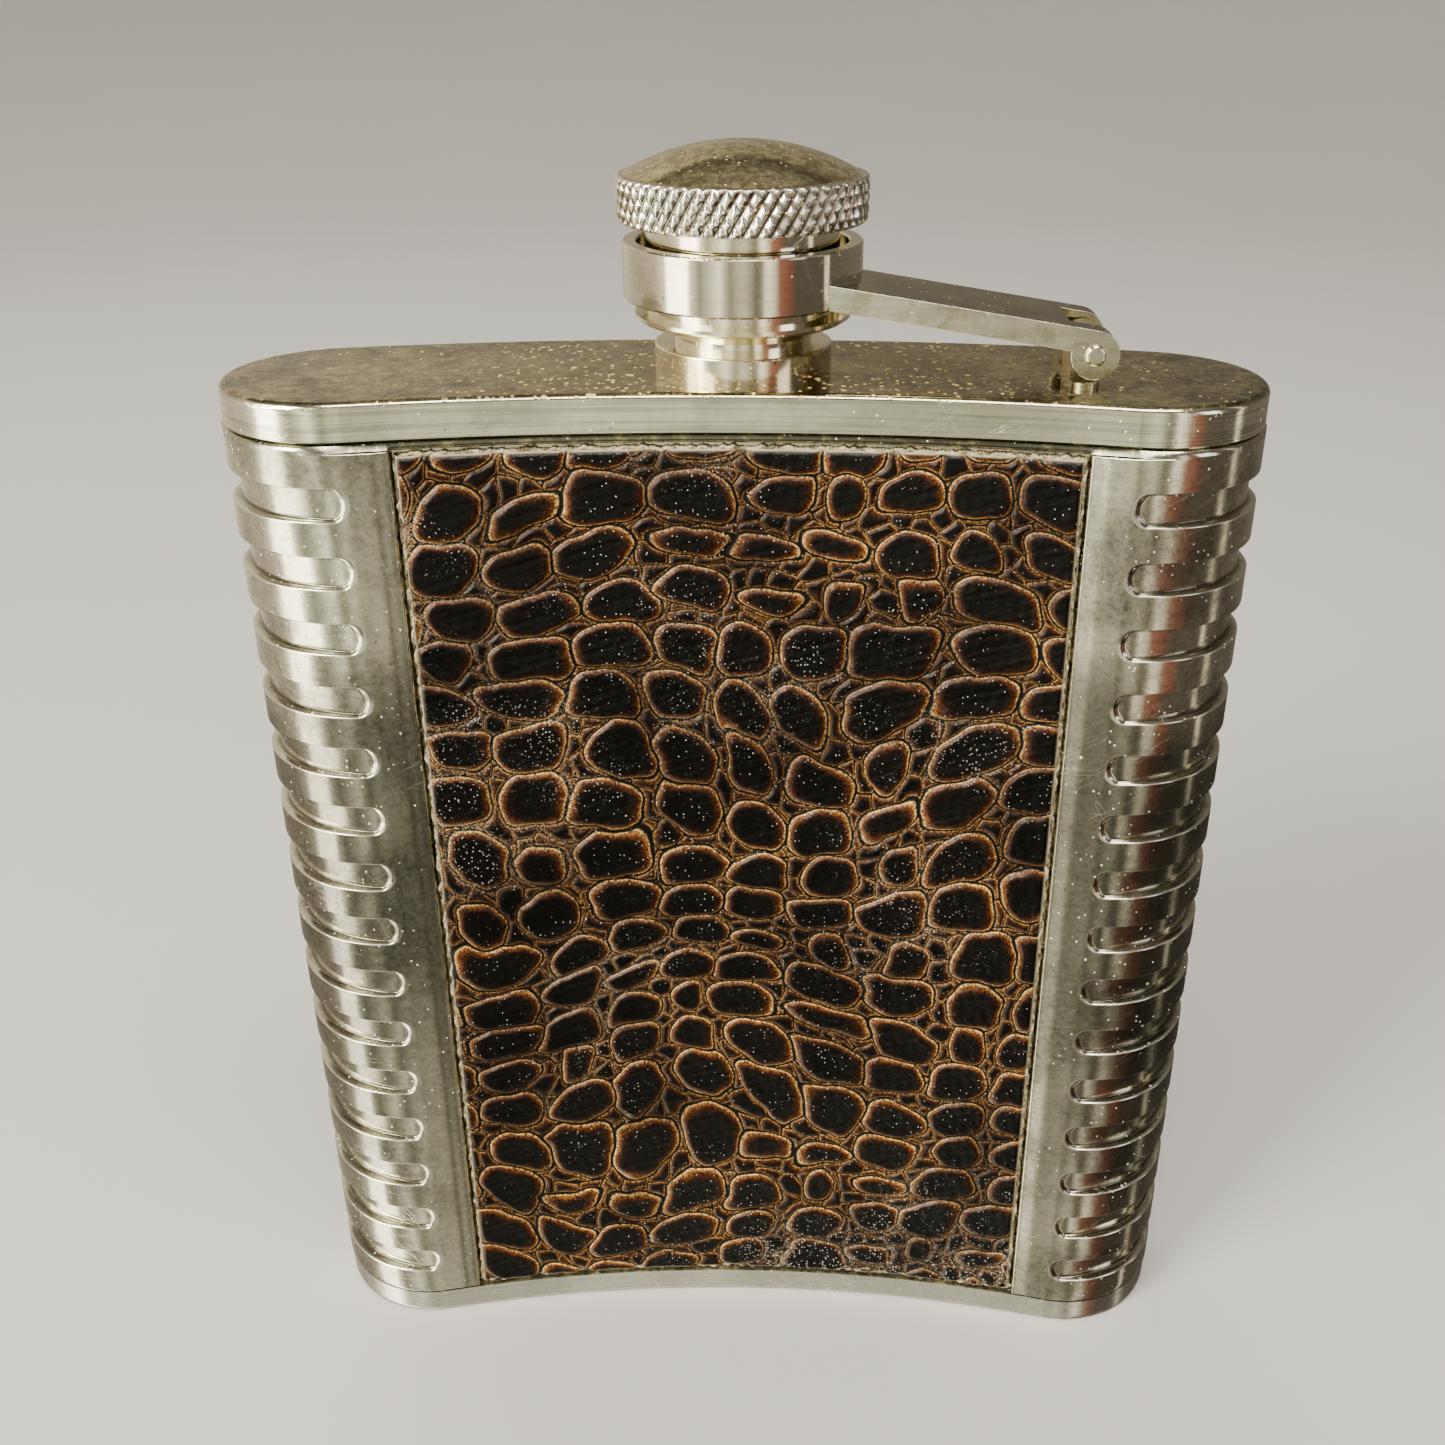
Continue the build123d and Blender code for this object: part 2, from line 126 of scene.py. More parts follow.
SCALE_COLORS = [              # (share of SCALE_REACH in from the edge, colour)
    (0.000, (0.003, 0.0025, 0.002, 1)),
    (0.070, (0.007, 0.005, 0.003, 1)),
    (0.115, (0.640, 0.450, 0.190, 1)),
    (0.165, (0.340, 0.165, 0.040, 1)),
    (0.240, (0.120, 0.040, 0.007, 1)),
    (0.360, (0.040, 0.012, 0.003, 1)),
    (0.540, (0.008, 0.0040, 0.0024, 1)),
    (0.800, (0.0028, 0.0024, 0.0020, 1)),
]


# ---- Small numeric helpers -----------------------------------------------------------------------------
def smoothstep(low, high, value):
    t = np.clip((value - low) / (high - low), 0.0, 1.0)
    return t * t * (3.0 - 2.0 * t)


def soft_minimum(a, b, blend):
    h = np.clip(0.5 + 0.5 * (b - a) / blend, 0.0, 1.0)
    return b * (1.0 - h) + a * h - blend * h * (1.0 - h)


def adaptive_samples(start, end, spacing_at):
    """Places from start to end whose spacing follows spacing_at(place)."""
    fine = np.linspace(start, end, FINE_STEPS)
    density = 1.0 / spacing_at(fine)
    steps = np.concatenate([[0.0], np.cumsum((density[1:] + density[:-1]) / 2 * np.diff(fine))])
    count = int(math.ceil(steps[-1])) + 1
    return np.interp(np.linspace(0.0, steps[-1], count), steps, fine)


def wave_noise(x, y, wavelength, seed, octaves=3):
    """Smooth noise of unit size, made of seeded plane waves."""
    waves = np.random.default_rng(seed)
    total = np.zeros_like(x, dtype=float)
    for octave in range(octaves):
        for _ in range(6):
            angle = waves.uniform(0, 2 * math.pi)
            k = 2 * math.pi / (wavelength / 2**octave * waves.uniform(0.75, 1.3))
            phase = waves.uniform(0, 2 * math.pi)
            total += np.sin(k * (x * math.cos(angle) + y * math.sin(angle)) + phase) / 2**octave / 2.4
    return total


# ---- Mesh helpers --------------------------------------------------------------------------------------
def grid_faces(rows, columns, wrap, offset=0, flip=False):
    """Quads between neighbouring rows and columns of a grid of points stored row by row."""
    r, c = np.meshgrid(np.arange(rows - 1), np.arange(columns if wrap else columns - 1), indexing="ij")
    right = (c + 1) % columns
    here, above = r * columns, (r + 1) * columns
    quads = np.stack([here + c, here + right, above + right, above + c], -1).reshape(-1, 4) + offset
    return quads[:, ::-1] if flip else quads


def link_mesh(name, points, faces):
    """A smooth-shaded mesh object from points in metres."""
    mesh = bpy.data.meshes.new(name)
    mesh.from_pydata(points, [], faces)
    mesh.polygons.foreach_set("use_smooth", [True] * len(mesh.polygons))
    mesh.update()
    piece = bpy.data.objects.new(name, mesh)
    bpy.context.scene.collection.objects.link(piece)
    return piece


def make_object(name, points_mm, faces, attributes=None):
    """A mesh object from points in millimetres, with named values at its points."""
    piece = link_mesh(name, (np.asarray(points_mm) * MM).tolist(), [list(map(int, f)) for f in faces])
    for key, values in (attributes or {}).items():
        layer = piece.data.attributes.new(key, "FLOAT", "POINT")
        layer.data.foreach_set("value", np.asarray(values, np.float32))
    return piece


# ---- The flask's section -------------------------------------------------------------------------------
def section_outline(spacing_at_x):
    """Points and outward normals round the body's outline, starting at the left of the hollow face."""
    half = FLASK_DEPTH / 2
    centre = np.array([0.0, -BEND_RADIUS])

    def face(radius, outward, first, last):
        x = adaptive_samples(radius * math.sin(first), radius * math.sin(last), spacing_at_x)[:-1] \
            if last > first else \
            -adaptive_samples(-radius * math.sin(first), -radius * math.sin(last), spacing_at_x)[:-1]
        angle = np.arcsin(x / radius)
        direction = np.stack([np.sin(angle), np.cos(angle)], -1)
        return centre + radius * direction, outward * direction

    def end(side):
        middle = centre + BEND_RADIUS * np.array([side * math.sin(END_ANGLE), math.cos(END_ANGLE)])
        start = math.atan2(-math.cos(END_ANGLE), -side * math.sin(END_ANGLE))
        if side < 0:
            start += math.pi

        def spacing(angle):
            return spacing_at_x(middle[0] + half * np.cos(start + angle)) / half

        angle = start + adaptive_samples(0.0, math.pi, spacing)[:-1]
        normal = np.stack([np.cos(angle), np.sin(angle)], -1)
        return middle + half * normal, normal

    pieces = [
        face(BEND_RADIUS - half, -1, -END_ANGLE, END_ANGLE),
        end(1),
        face(BEND_RADIUS + half, 1, END_ANGLE, -END_ANGLE),
        end(-1),
    ]
    points = np.concatenate([p for p, _ in pieces])
    normals = np.concatenate([n for _, n in pieces])
    return points, normals


def face_point(side, x, inset):
    """Places on one broad face at x, inset below the body's outline, as (x, y) pairs."""
    radius = BEND_RADIUS + side * (FLASK_DEPTH / 2 - inset)
    angle = np.arcsin(x / (BEND_RADIUS + side * FLASK_DEPTH / 2))
    return radius * np.sin(angle), radius * np.cos(angle) - BEND_RADIUS


# ---- Steel body ----------------------------------------------------------------------------------------
def body_column_spacing(x):
    """Fine columns where the recess walls and the grooves' round ends are."""
    away = np.abs(x)
    spacing = np.where(away < PANEL_HALF_WIDTH - 1, 2.5, 0.6)
    near_wall = np.abs(away - PANEL_HALF_WIDTH) < 0.45
    near_nose = (away > GROOVE_END - 0.4) & (away < GROOVE_END + 2.0)
    spacing = np.where((away > PANEL_HALF_WIDTH) & (away < PANEL_HALF_WIDTH + 2.0), 0.3, spacing)
    spacing = np.where(near_wall, 0.09, spacing)
    return np.where(near_nose, 0.16, spacing)


def body_row_spacing(z):
    """Fine rows at the grooves' edges."""
    spacing = np.full_like(z, 0.5)
    for index in range(RIB_COUNT):
        centre = TOP_GROOVE_HEIGHT - index * RIB_PITCH
        from_wall = np.abs(np.abs(z - centre) - GROOVE_HALF_HEIGHT + GROOVE_WALL / 2)
        spacing = np.where(np.abs(z - centre) < GROOVE_HALF_HEIGHT, 0.25, spacing)
        spacing = np.where(from_wall < 0.32, 0.06, spacing)
    return spacing


def place_in_groove(x, z):
    """Where (x, z) is in its nearest groove: across and up from the nose's centre, and in from the rim."""
    nose = GROOVE_END + GROOVE_HALF_HEIGHT
    across = np.minimum(np.abs(x) - nose, 0.0)
    index = np.clip(np.round((TOP_GROOVE_HEIGHT - z) / RIB_PITCH), 0, RIB_COUNT - 1)
    up = z - (TOP_GROOVE_HEIGHT - index * RIB_PITCH)
    return across, up, GROOVE_HALF_HEIGHT - np.hypot(across, up)


def groove_depth(x, z):
    """How far the grooves sink at (x, z): crisp walls, a flat floor, and a shallow, softly rounded nose."""
    across, _, inside = place_in_groove(x, z)
    wall = GROOVE_WALL + 0.75 * smoothstep(0.1, 1.0, -across / GROOVE_HALF_HEIGHT)
    past_nose = 0.30 + 0.70 * smoothstep(-1.5, 6.5, np.abs(x) - GROOVE_END)
    return GROOVE_DEPTH * past_nose * smoothstep(-0.02, 1.0, inside / wall)


def groove_painted_light(x, z):
    """Shares of painted highlight along the grooves' rims, and of painted shade in the corners inside their
    walls.
    """
    _, up, inside = place_in_groove(x, z)
    below = smoothstep(0.3, -0.3, up / GROOVE_HALF_HEIGHT)
    at_rim = smoothstep(0.14, 0.03, np.abs(inside + 0.03))
    # painted highlight along the rims, strongest on the lower ones
    lip_highlight = at_rim * (0.35 + 0.65 * below)
    # painted shade just inside the walls
    in_shaded_corner = smoothstep(0.16, 0.04, np.abs(inside - 0.24)) * smoothstep(-0.3, 2.0, np.abs(x) - GROOVE_END)
    return lip_highlight, in_shaded_corner * (0.55 + 0.45 * below)


def recess_depth(x):
    """How far the seat of a leather panel sinks, with the metal beside it rolling gently in."""
    outside = np.abs(x) - PANEL_HALF_WIDTH
    return PANEL_RECESS * smoothstep(0.12, -0.28, outside) + 0.10 * smoothstep(1.7, 0.1, outside)


def rounded_rows(z_edge, upward):
    """Rows of (z, inset) that round one end of the ribbed zone."""
    sign = 1.0 if upward else -1.0
    turn = np.linspace(0.0, math.pi / 2, 7)
    z = z_edge - sign * RIB_EDGE_RADIUS * (1 - np.sin(turn))
    return np.stack([z, RIB_EDGE_RADIUS * (1 - np.cos(turn))], -1)


def body_rows():
    """Rows of (z, inset) from the bottom of the spigot to its top, with a shallow shoulder under the lid."""
    spigot = [[RIB_ZONE_BOTTOM - 0.03, SPIGOT_INSET]]
    lower = np.concatenate([spigot, rounded_rows(RIB_ZONE_BOTTOM, upward=False)[::-1]])
    shoulder = [(RIB_ZONE_TOP + 0.03, SHOULDER_INSET), (SHOULDER_TOP, SHOULDER_INSET),
                (SHOULDER_TOP + 0.06, SHOULDER_INSET + 0.15), (SHOULDER_TOP + 0.06, SPIGOT_INSET)]
    upper = np.concatenate([rounded_rows(RIB_ZONE_TOP, upward=True), shoulder])
    z = adaptive_samples(lower[-1, 0], upper[0, 0], body_row_spacing)[1:-1]
    middle = np.stack([z, np.zeros_like(z)], -1)
    foot, tip = [[SPIGOT_BOTTOM, SPIGOT_INSET]], [[SPIGOT_TOP, SPIGOT_INSET]]
    return np.concatenate([foot, lower, middle, upper, tip])


def build_body():
    outline, normal = section_outline(body_column_spacing)
    rows = body_rows()
    columns = len(outline)
    z = np.repeat(rows[:, 0], columns)
    x = np.tile(outline[:, 0], len(rows))
    y = np.tile(outline[:, 1], len(rows))
    n = np.tile(normal, (len(rows), 1))
    below_strip = smoothstep(RIB_ZONE_TOP + 0.03, RIB_ZONE_TOP, z)
    pressed = np.maximum(groove_depth(x, z), np.minimum(recess_depth(x), PANEL_RECESS) * below_strip)
    edge_inset = np.repeat(rows[:, 1], columns)
    at_strip = (z > RIB_ZONE_TOP - 1.0) & (z < SHOULDER_TOP + 0.03)
    at_ends = smoothstep(FLUSH_FROM, FLUSH_AT, np.abs(x)) * at_strip
    inset = np.maximum(edge_inset * (1 - at_ends), pressed)
    outer = np.stack([x - n[:, 0] * inset, y - n[:, 1] * inset, z], -1)

    lining = PANEL_RECESS + SHEET
    inner_ring = outline - normal * lining
    bottom = np.column_stack([inner_ring, np.full(columns, rows[0, 0])])
    top = np.column_stack([inner_ring, np.full(columns, rows[-1, 0])])
    points = np.concatenate([outer, top, bottom])
    faces = [grid_faces(len(rows) + 2, columns, wrap=True)]
    last = (len(rows) + 1) * columns
    c = np.arange(columns)
    right = (c + 1) % columns
    faces.append(np.stack([last + c, last + right, right, c], -1))
    # painted highlight on the grooves' lips and painted shade in their corners, kept at the points
    lip_highlight, corner_shade = groove_painted_light(x, z)
    no_painted_light = np.zeros(2 * columns)
    attributes = {"lip_highlight": np.concatenate([lip_highlight, no_painted_light]), "corner_shade": np.concatenate([corner_shade, no_painted_light])}
    return make_object("body_skin", points, np.concatenate(faces), attributes)


# ---- Patterned leather ---------------------------------------------------------------------------------
def scatter_large_scales(random, half_width, bottom, top):
    """Centres, half sizes, tilt, squareness and two skews of each large scale, in loose rows and columns."""
    scales = []
    rows = int((top - bottom) / ROW_PITCH) + 4
    columns = int(2 * half_width / COLUMN_PITCH) + 5
    drift = 0.0
    for row in range(rows):
        drift += random.uniform(-1.5, 1.5)
        height = bottom - 1.5 * ROW_PITCH + row * ROW_PITCH
        for column in range(columns):
            width = random.uniform(3.05, 3.75)
            tall = random.uniform(2.3, 2.85)
            if random.random() < 0.12:
                width *= random.uniform(0.5, 0.75)
            if random.random() < 0.12:
                tall *= random.uniform(0.5, 0.75)
            x = -half_width - 1.5 * COLUMN_PITCH + column * COLUMN_PITCH + drift
            x += random.uniform(-0.6, 0.6)
            z = height + random.uniform(-0.6, 0.6)
            skew = random.uniform(-0.26, 0.26, 2)
            tilt = random.uniform(-0.3, 0.3)
            scales.append((x, z, width, tall, tilt, random.uniform(2.1, 3.2), *skew))
    return np.array(scales)


def scatter_small_scales(random, half_width, bottom, top):
    """Centres of the small scales that fill the space between the large ones."""
    x = np.arange(-half_width - 3, half_width + 3, FILLER_PITCH)
    z = np.arange(bottom - 3, top + 3, FILLER_PITCH)
    grid_x, grid_z = np.meshgrid(x, z)
    shift = random.uniform(-0.9, 0.9, (2, *grid_x.shape))
    return np.stack([(grid_x + shift[0]).ravel(), (grid_z + shift[1]).ravel()], -1)


def two_nearest(measure_one, count, shape):
    """The smallest and second smallest of count distance fields, and which is the smallest."""
    first = np.full(shape, 1e9)
    second = np.full(shape, 1e9)
    owner = np.zeros(shape, int)
    for index in range(count):
        window, value = measure_one(index)
        f, s = first[window], second[window]
        nearer = value < f
        second[window] = np.where(nearer, f, np.minimum(s, value))
        first[window] = np.where(nearer, value, f)
        owner[window] = np.where(nearer, index, owner[window])
    return first, second, owner


def window_round(x_line, z_line, x, z, reach):
    """The part of the grid within reach of (x, z), as a pair of slices."""
    columns = np.searchsorted(x_line, [x - reach, x + reach])
    rows = np.searchsorted(z_line, [z - reach, z + reach])
    return slice(rows[0], rows[1]), slice(columns[0], columns[1])


def scale_relief(x_line, z_line, seed):
    """Reptile-scale relief.  Returns height 0..1, distance in from each scale's edge, and scale size."""
    random = np.random.default_rng(seed)
    half_width, bottom, top = -x_line[0], z_line[0], z_line[-1]
    large = scatter_large_scales(random, half_width, bottom, top)
    small = scatter_small_scales(random, half_width, bottom, top)
    x, z = np.meshgrid(x_line, z_line)
    warp_x = x + 1.3 * wave_noise(x, z, 34, seed + 1, 1) + 0.16 * wave_noise(x, z, 5.0, seed + 2, 2)
    warp_z = z + 2.0 * wave_noise(x, z, 38, seed + 3, 1) + 0.16 * wave_noise(x, z, 5.0, seed + 4, 2)

    def large_field(index):
        cx, cz, width, tall, tilt, power, taper, lean = large[index]
        window = window_round(x_line, z_line, cx, cz, 11.0)
        dx, dz = warp_x[window] - cx, warp_z[window] - cz
        u = (dx * math.cos(tilt) + dz * math.sin(tilt)) / width
        v = (-dx * math.sin(tilt) + dz * math.cos(tilt)) / tall
        u, v = u / (1 + lean * np.clip(v, -1.2, 1.2)), v / (1 + taper * np.clip(u, -1.2, 1.2))
        return window, (np.abs(u) ** power + np.abs(v) ** power) ** (1 / power)

    def small_field(index):
        cx, cz = small[index]
        window = window_round(x_line, z_line, cx, cz, 6.0)
        return window, np.hypot(warp_x[window] - cx, warp_z[window] - cz)

    near, next_near, owner = two_nearest(large_field, len(large), x.shape)
    size = np.minimum(large[owner, 2], large[owner, 3])
    to_outline = (1.0 - near) * size
    to_neighbour = (next_near - near) * size / 2
    in_large = np.minimum(to_outline, to_neighbour)
    small_near, small_next, _ = two_nearest(small_field, len(small), x.shape)
    in_small = np.minimum(-to_outline * 0.8, (small_next - small_near) / 2)

    is_large = to_outline > 0
    depth_in = np.where(is_large, in_large, np.maximum(in_small, 0.0))
    plateau = 1.0 - 0.12 * smoothstep(0.8, 2.2, depth_in)
    large_height = smoothstep(-0.02, 0.62, in_large) ** 0.8 * plateau
    small_height = 0.66 * smoothstep(-0.02, 0.42, in_small)
    height = np.where(is_large, large_height, small_height)
    return height, depth_in, is_large.astype(float)


def rectangle_rim(x_line, z_line):
    """Points round a rectangle of grid lines: along its bottom, up, back along its top and down."""
    bottom = [(x, z_line[0]) for x in x_line]
    right = [(x_line[-1], z) for z in z_line[1:]]
    top = [(x, z_line[-1]) for x in x_line[-2::-1]]
    left = [(x_line[0], z) for z in z_line[-2:0:-1]]
    return np.array(bottom + right + top + left)


def rim_cover(first, rows, columns, flip):
    """Faces that close a rectangle_rim whose points start at first.  Unflipped, they face +Y."""
    bottom_rim = [first + i for i in range(columns)]
    top_right = first + columns + rows - 2
    top_rim = [top_right + (columns - 1 - i) for i in range(columns)]
    right = [first + columns - 1 + i for i in range(rows)]
    left = [first] + [first + 2 * columns + 2 * rows - 4 - i for i in range(1, rows)]
    strips = [[*left, top_rim[1], bottom_rim[1]], [bottom_rim[-2], top_rim[-2], *right[::-1]]]
    for i in range(1, columns - 2):
        strips.append([bottom_rim[i], top_rim[i], top_rim[i + 1], bottom_rim[i + 1]])
    return [s[::-1] for s in strips] if flip else strips


def build_leather(node, side, seed):
    """Embossed sheet on one broad face: relief outside, plain inside, closed round its cut edge."""
    low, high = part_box(node)
    half_width = high.x / MM - LEATHER_TRIM
    bottom, top = low.z / MM + LEATHER_TRIM, high.z / MM - LEATHER_TRIM
    x_line = np.linspace(-half_width, half_width, int(2 * half_width / LEATHER_GRIDS[side]))
    z_line = np.linspace(bottom, top, int((top - bottom) / LEATHER_GRIDS[side]))
    height, depth_in, is_large = scale_relief(x_line, z_line, seed)

    x, z = np.meshgrid(x_line, z_line)
    edge = np.minimum(half_width - np.abs(x), np.minimum(z - bottom, top - z))
    rounding = 0.28 * (1 - smoothstep(0.0, 0.45, edge))
    pucker = 0.02 * wave_noise(x, z, 1.1, seed + 9, 2)
    inset = LEATHER_TOP_INSET + LEATHER_RELIEF * (1 - height) + rounding + pucker * height
    px, py = face_point(side, x.ravel(), inset.ravel())
    front = np.stack([px, py, z.ravel()], -1)

    rows, columns = x.shape
    first = rows * columns
    rim = np.concatenate([
        np.arange(columns),
        np.arange(1, rows) * columns + columns - 1,
        (rows - 1) * columns + np.arange(columns - 2, -1, -1),
        np.arange(rows - 2, 0, -1) * columns,
    ])
    count = len(rim)
    bx, by = face_point(side, x.ravel()[rim], np.full(count, PANEL_RECESS - BACKING_THICKNESS))
    back = np.stack([bx, by, z.ravel()[rim]], -1)
    following = (np.arange(count) + 1) % count
    wall = np.stack([rim, first + np.arange(count), first + following, rim[following]], -1)
    away_from_hip = side > 0
    faces = grid_faces(rows, columns, wrap=False, flip=away_from_hip).tolist()
    faces += (wall[:, ::-1] if away_from_hip else wall).tolist()
    faces += rim_cover(first, rows, columns, flip=away_from_hip)
    attributes = {
        "depth_in": np.concatenate([depth_in.ravel(), np.zeros(count)]),
        "is_large": np.concatenate([is_large.ravel(), np.zeros(count)]),
        "cut_edge": np.concatenate([1 - smoothstep(0.0, 0.16, edge.ravel()), np.ones(count)]),
    }
    return make_object(node + "_scales", np.concatenate([front, back]), faces, attributes)


def build_backing(node, side, seed):
    """Cloth sheet under the leather: its frayed rim shows round the leather's cut edge."""
    low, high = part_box(node)
    half_width, bottom, top = high.x / MM, low.z / MM, high.z / MM
    x_line = np.linspace(-half_width, half_width, int(2 * half_width / FRAY_GRID))
    z_line = np.linspace(bottom, top, int((top - bottom) / FRAY_GRID))
    rim = rectangle_rim(x_line, z_line)
    outward = np.where(np.abs(rim[:, :1]) > half_width - 1e-6, np.sign(rim[:, :1]), 0.0)
    upward = np.where(rim[:, 1:] > top - 1e-6, 1.0, np.where(rim[:, 1:] < bottom + 1e-6, -1.0, 0.0))
    outward = np.hstack([outward, upward])
    x, z = rim[:, 0], rim[:, 1]
    fray = 0.09 * wave_noise(x, z, 2.3, seed, 3) + 0.06 * wave_noise(x, z, 0.8, seed + 1, 2)
    lift = 0.10 * wave_noise(x, z, 1.1, seed + 3, 2)
    rings = [
        # distance out from the rim, inset below the body's outline, share of the fraying
        (-1.2, PANEL_RECESS - BACKING_THICKNESS + 0.03, 0.0),
        (-0.50, 0.62, 0.5),
        (-0.27, 0.30, 1.0),
        (-0.16, 0.37, 1.0),
        (-0.10, 0.80, 1.0),
        (-0.12, PANEL_RECESS - 0.01, 0.0),
    ]
    points = []
    for outset, inset, frayed in rings:
        place = rim + outward * (outset + frayed * fray)[:, None]
        px, py = face_point(side, place[:, 0], inset + frayed * lift)
        points.append(np.stack([px, py, place[:, 1]], -1))
    rows, columns, count = len(z_line), len(x_line), len(rim)
    away_from_hip = side > 0
    faces = grid_faces(len(rings), count, wrap=True, flip=not away_from_hip).tolist()
    faces += rim_cover(0, rows, columns, flip=not away_from_hip)
    faces += rim_cover((len(rings) - 1) * count, rows, columns, flip=away_from_hip)
    return make_object(node + "_cloth", np.concatenate(points), faces)


# ---- Knurled cap ---------------------------------------------------------------------------------------
def knurl_height(around, up):
    """Diamond knurl, 0 in its grooves to 1 on its flattened crests, with one set of grooves shallower."""
    column_pitch = 2 * math.pi / KNURL_COLUMNS
    row_pitch = (GRIP_TOP - CAP_BASE) / KNURL_ROWS
    steep = around / column_pitch - up / (2 * row_pitch)
    shallow = around / column_pitch + up / (2 * row_pitch)

    def to_groove(place):
        return 0.5 - np.abs(place - np.floor(place) - 0.5)

    crest = soft_minimum(2.6 * to_groove(steep), 0.26 + 2.4 * to_groove(shallow), 0.25)
    return np.clip(crest, 0.0, 1.0)


def cap_profile():
    """Rows of (radius, height, knurl share) from the shell's inner edge, over the grip, to the dome's top."""
    edge = [
        (CAP_RADIUS - CAP_WALL, CAP_BASE, 0.0),
        (CAP_RADIUS - 0.42, CAP_BASE, 0.0),
        (CAP_RADIUS - 0.30, CAP_BASE + 0.05, 0.3),
        (CAP_RADIUS - 0.08, CAP_BASE + 0.22, 0.8),
    ]
    grip = [(CAP_RADIUS, z, 1.0) for z in np.linspace(CAP_BASE + 0.34, GRIP_TOP - 0.34, 44)]
    shoulder = [
        (CAP_RADIUS - 0.06, GRIP_TOP - 0.20, 0.8),
        (CAP_RADIUS - 0.22, GRIP_TOP - 0.06, 0.4),
        (CAP_RADIUS - 0.36, GRIP_TOP - 0.01, 0.0),
        (CAP_RADIUS - 0.48, GRIP_TOP - 0.02, 0.0),
        (CAP_RADIUS - 0.58, GRIP_TOP + 0.04, 0.0),
    ]
    rise = CAP_TOP - GRIP_TOP
    foot = CAP_RADIUS - 0.62
    sphere = (foot**2 + rise**2) / (2 * rise)
    angles = np.linspace(math.asin(foot / sphere), 0.004, DOME_ROWS)
    dome = [(sphere * math.sin(a), CAP_TOP - sphere + sphere * math.cos(a), 0.0) for a in angles]
    return np.array(edge + grip + shoulder + dome)


def build_cap():
    columns = KNURL_COLUMNS * KNURL_STEPS
    outside = cap_profile()
    rows = len(outside)
    around = np.tile(np.arange(columns) * 2 * math.pi / columns, rows)
    radius, z, share = (np.repeat(outside[:, k], columns) for k in range(3))
    wear = 0.85 + 0.15 * wave_noise(around * CAP_RADIUS, z, 6.0, 21, 2)
    hollow = share * (1 - knurl_height(around, z - CAP_BASE) * wear)
    radius = radius - KNURL_DEPTH * hollow
    outer = np.stack([radius * np.cos(around), radius * np.sin(around), z], -1)

    lining = outside[-DOME_ROWS:, :2] - np.array([0.0, CAP_WALL])
    lining = lining[::-1][lining[::-1][:, 0] < CAP_RADIUS - CAP_WALL - 0.05]
    inner_ring = np.tile(np.arange(columns) * 2 * math.pi / columns, len(lining))
    inner_radius, inner_z = (np.repeat(lining[:, k], columns) for k in range(2))
    inner = np.stack([inner_radius * np.cos(inner_ring), inner_radius * np.sin(inner_ring), inner_z], -1)
    apexes = [[0, 0, CAP_TOP], [0, 0, CAP_TOP - CAP_WALL]]
    points = np.concatenate([outer, inner, apexes])
    faces = grid_faces(rows, columns, wrap=True).tolist()
    start = rows * columns
    faces += grid_faces(len(lining), columns, wrap=True, offset=start).tolist()
    last_inner = start + (len(lining) - 1) * columns
    crown, ceiling = len(points) - 2, len(points) - 1
    for c in range(columns):
        right = (c + 1) % columns
        faces.append([(rows - 1) * columns + c, (rows - 1) * columns + right, crown])
        faces.append([start + right, start + c, ceiling])
        faces.append([last_inner + c, last_inner + right, right, c])
    attributes = {"hollow": np.concatenate([hollow, np.zeros(len(points) - len(hollow))])}
    return make_object("cap_knurled_shell", points, faces, attributes)


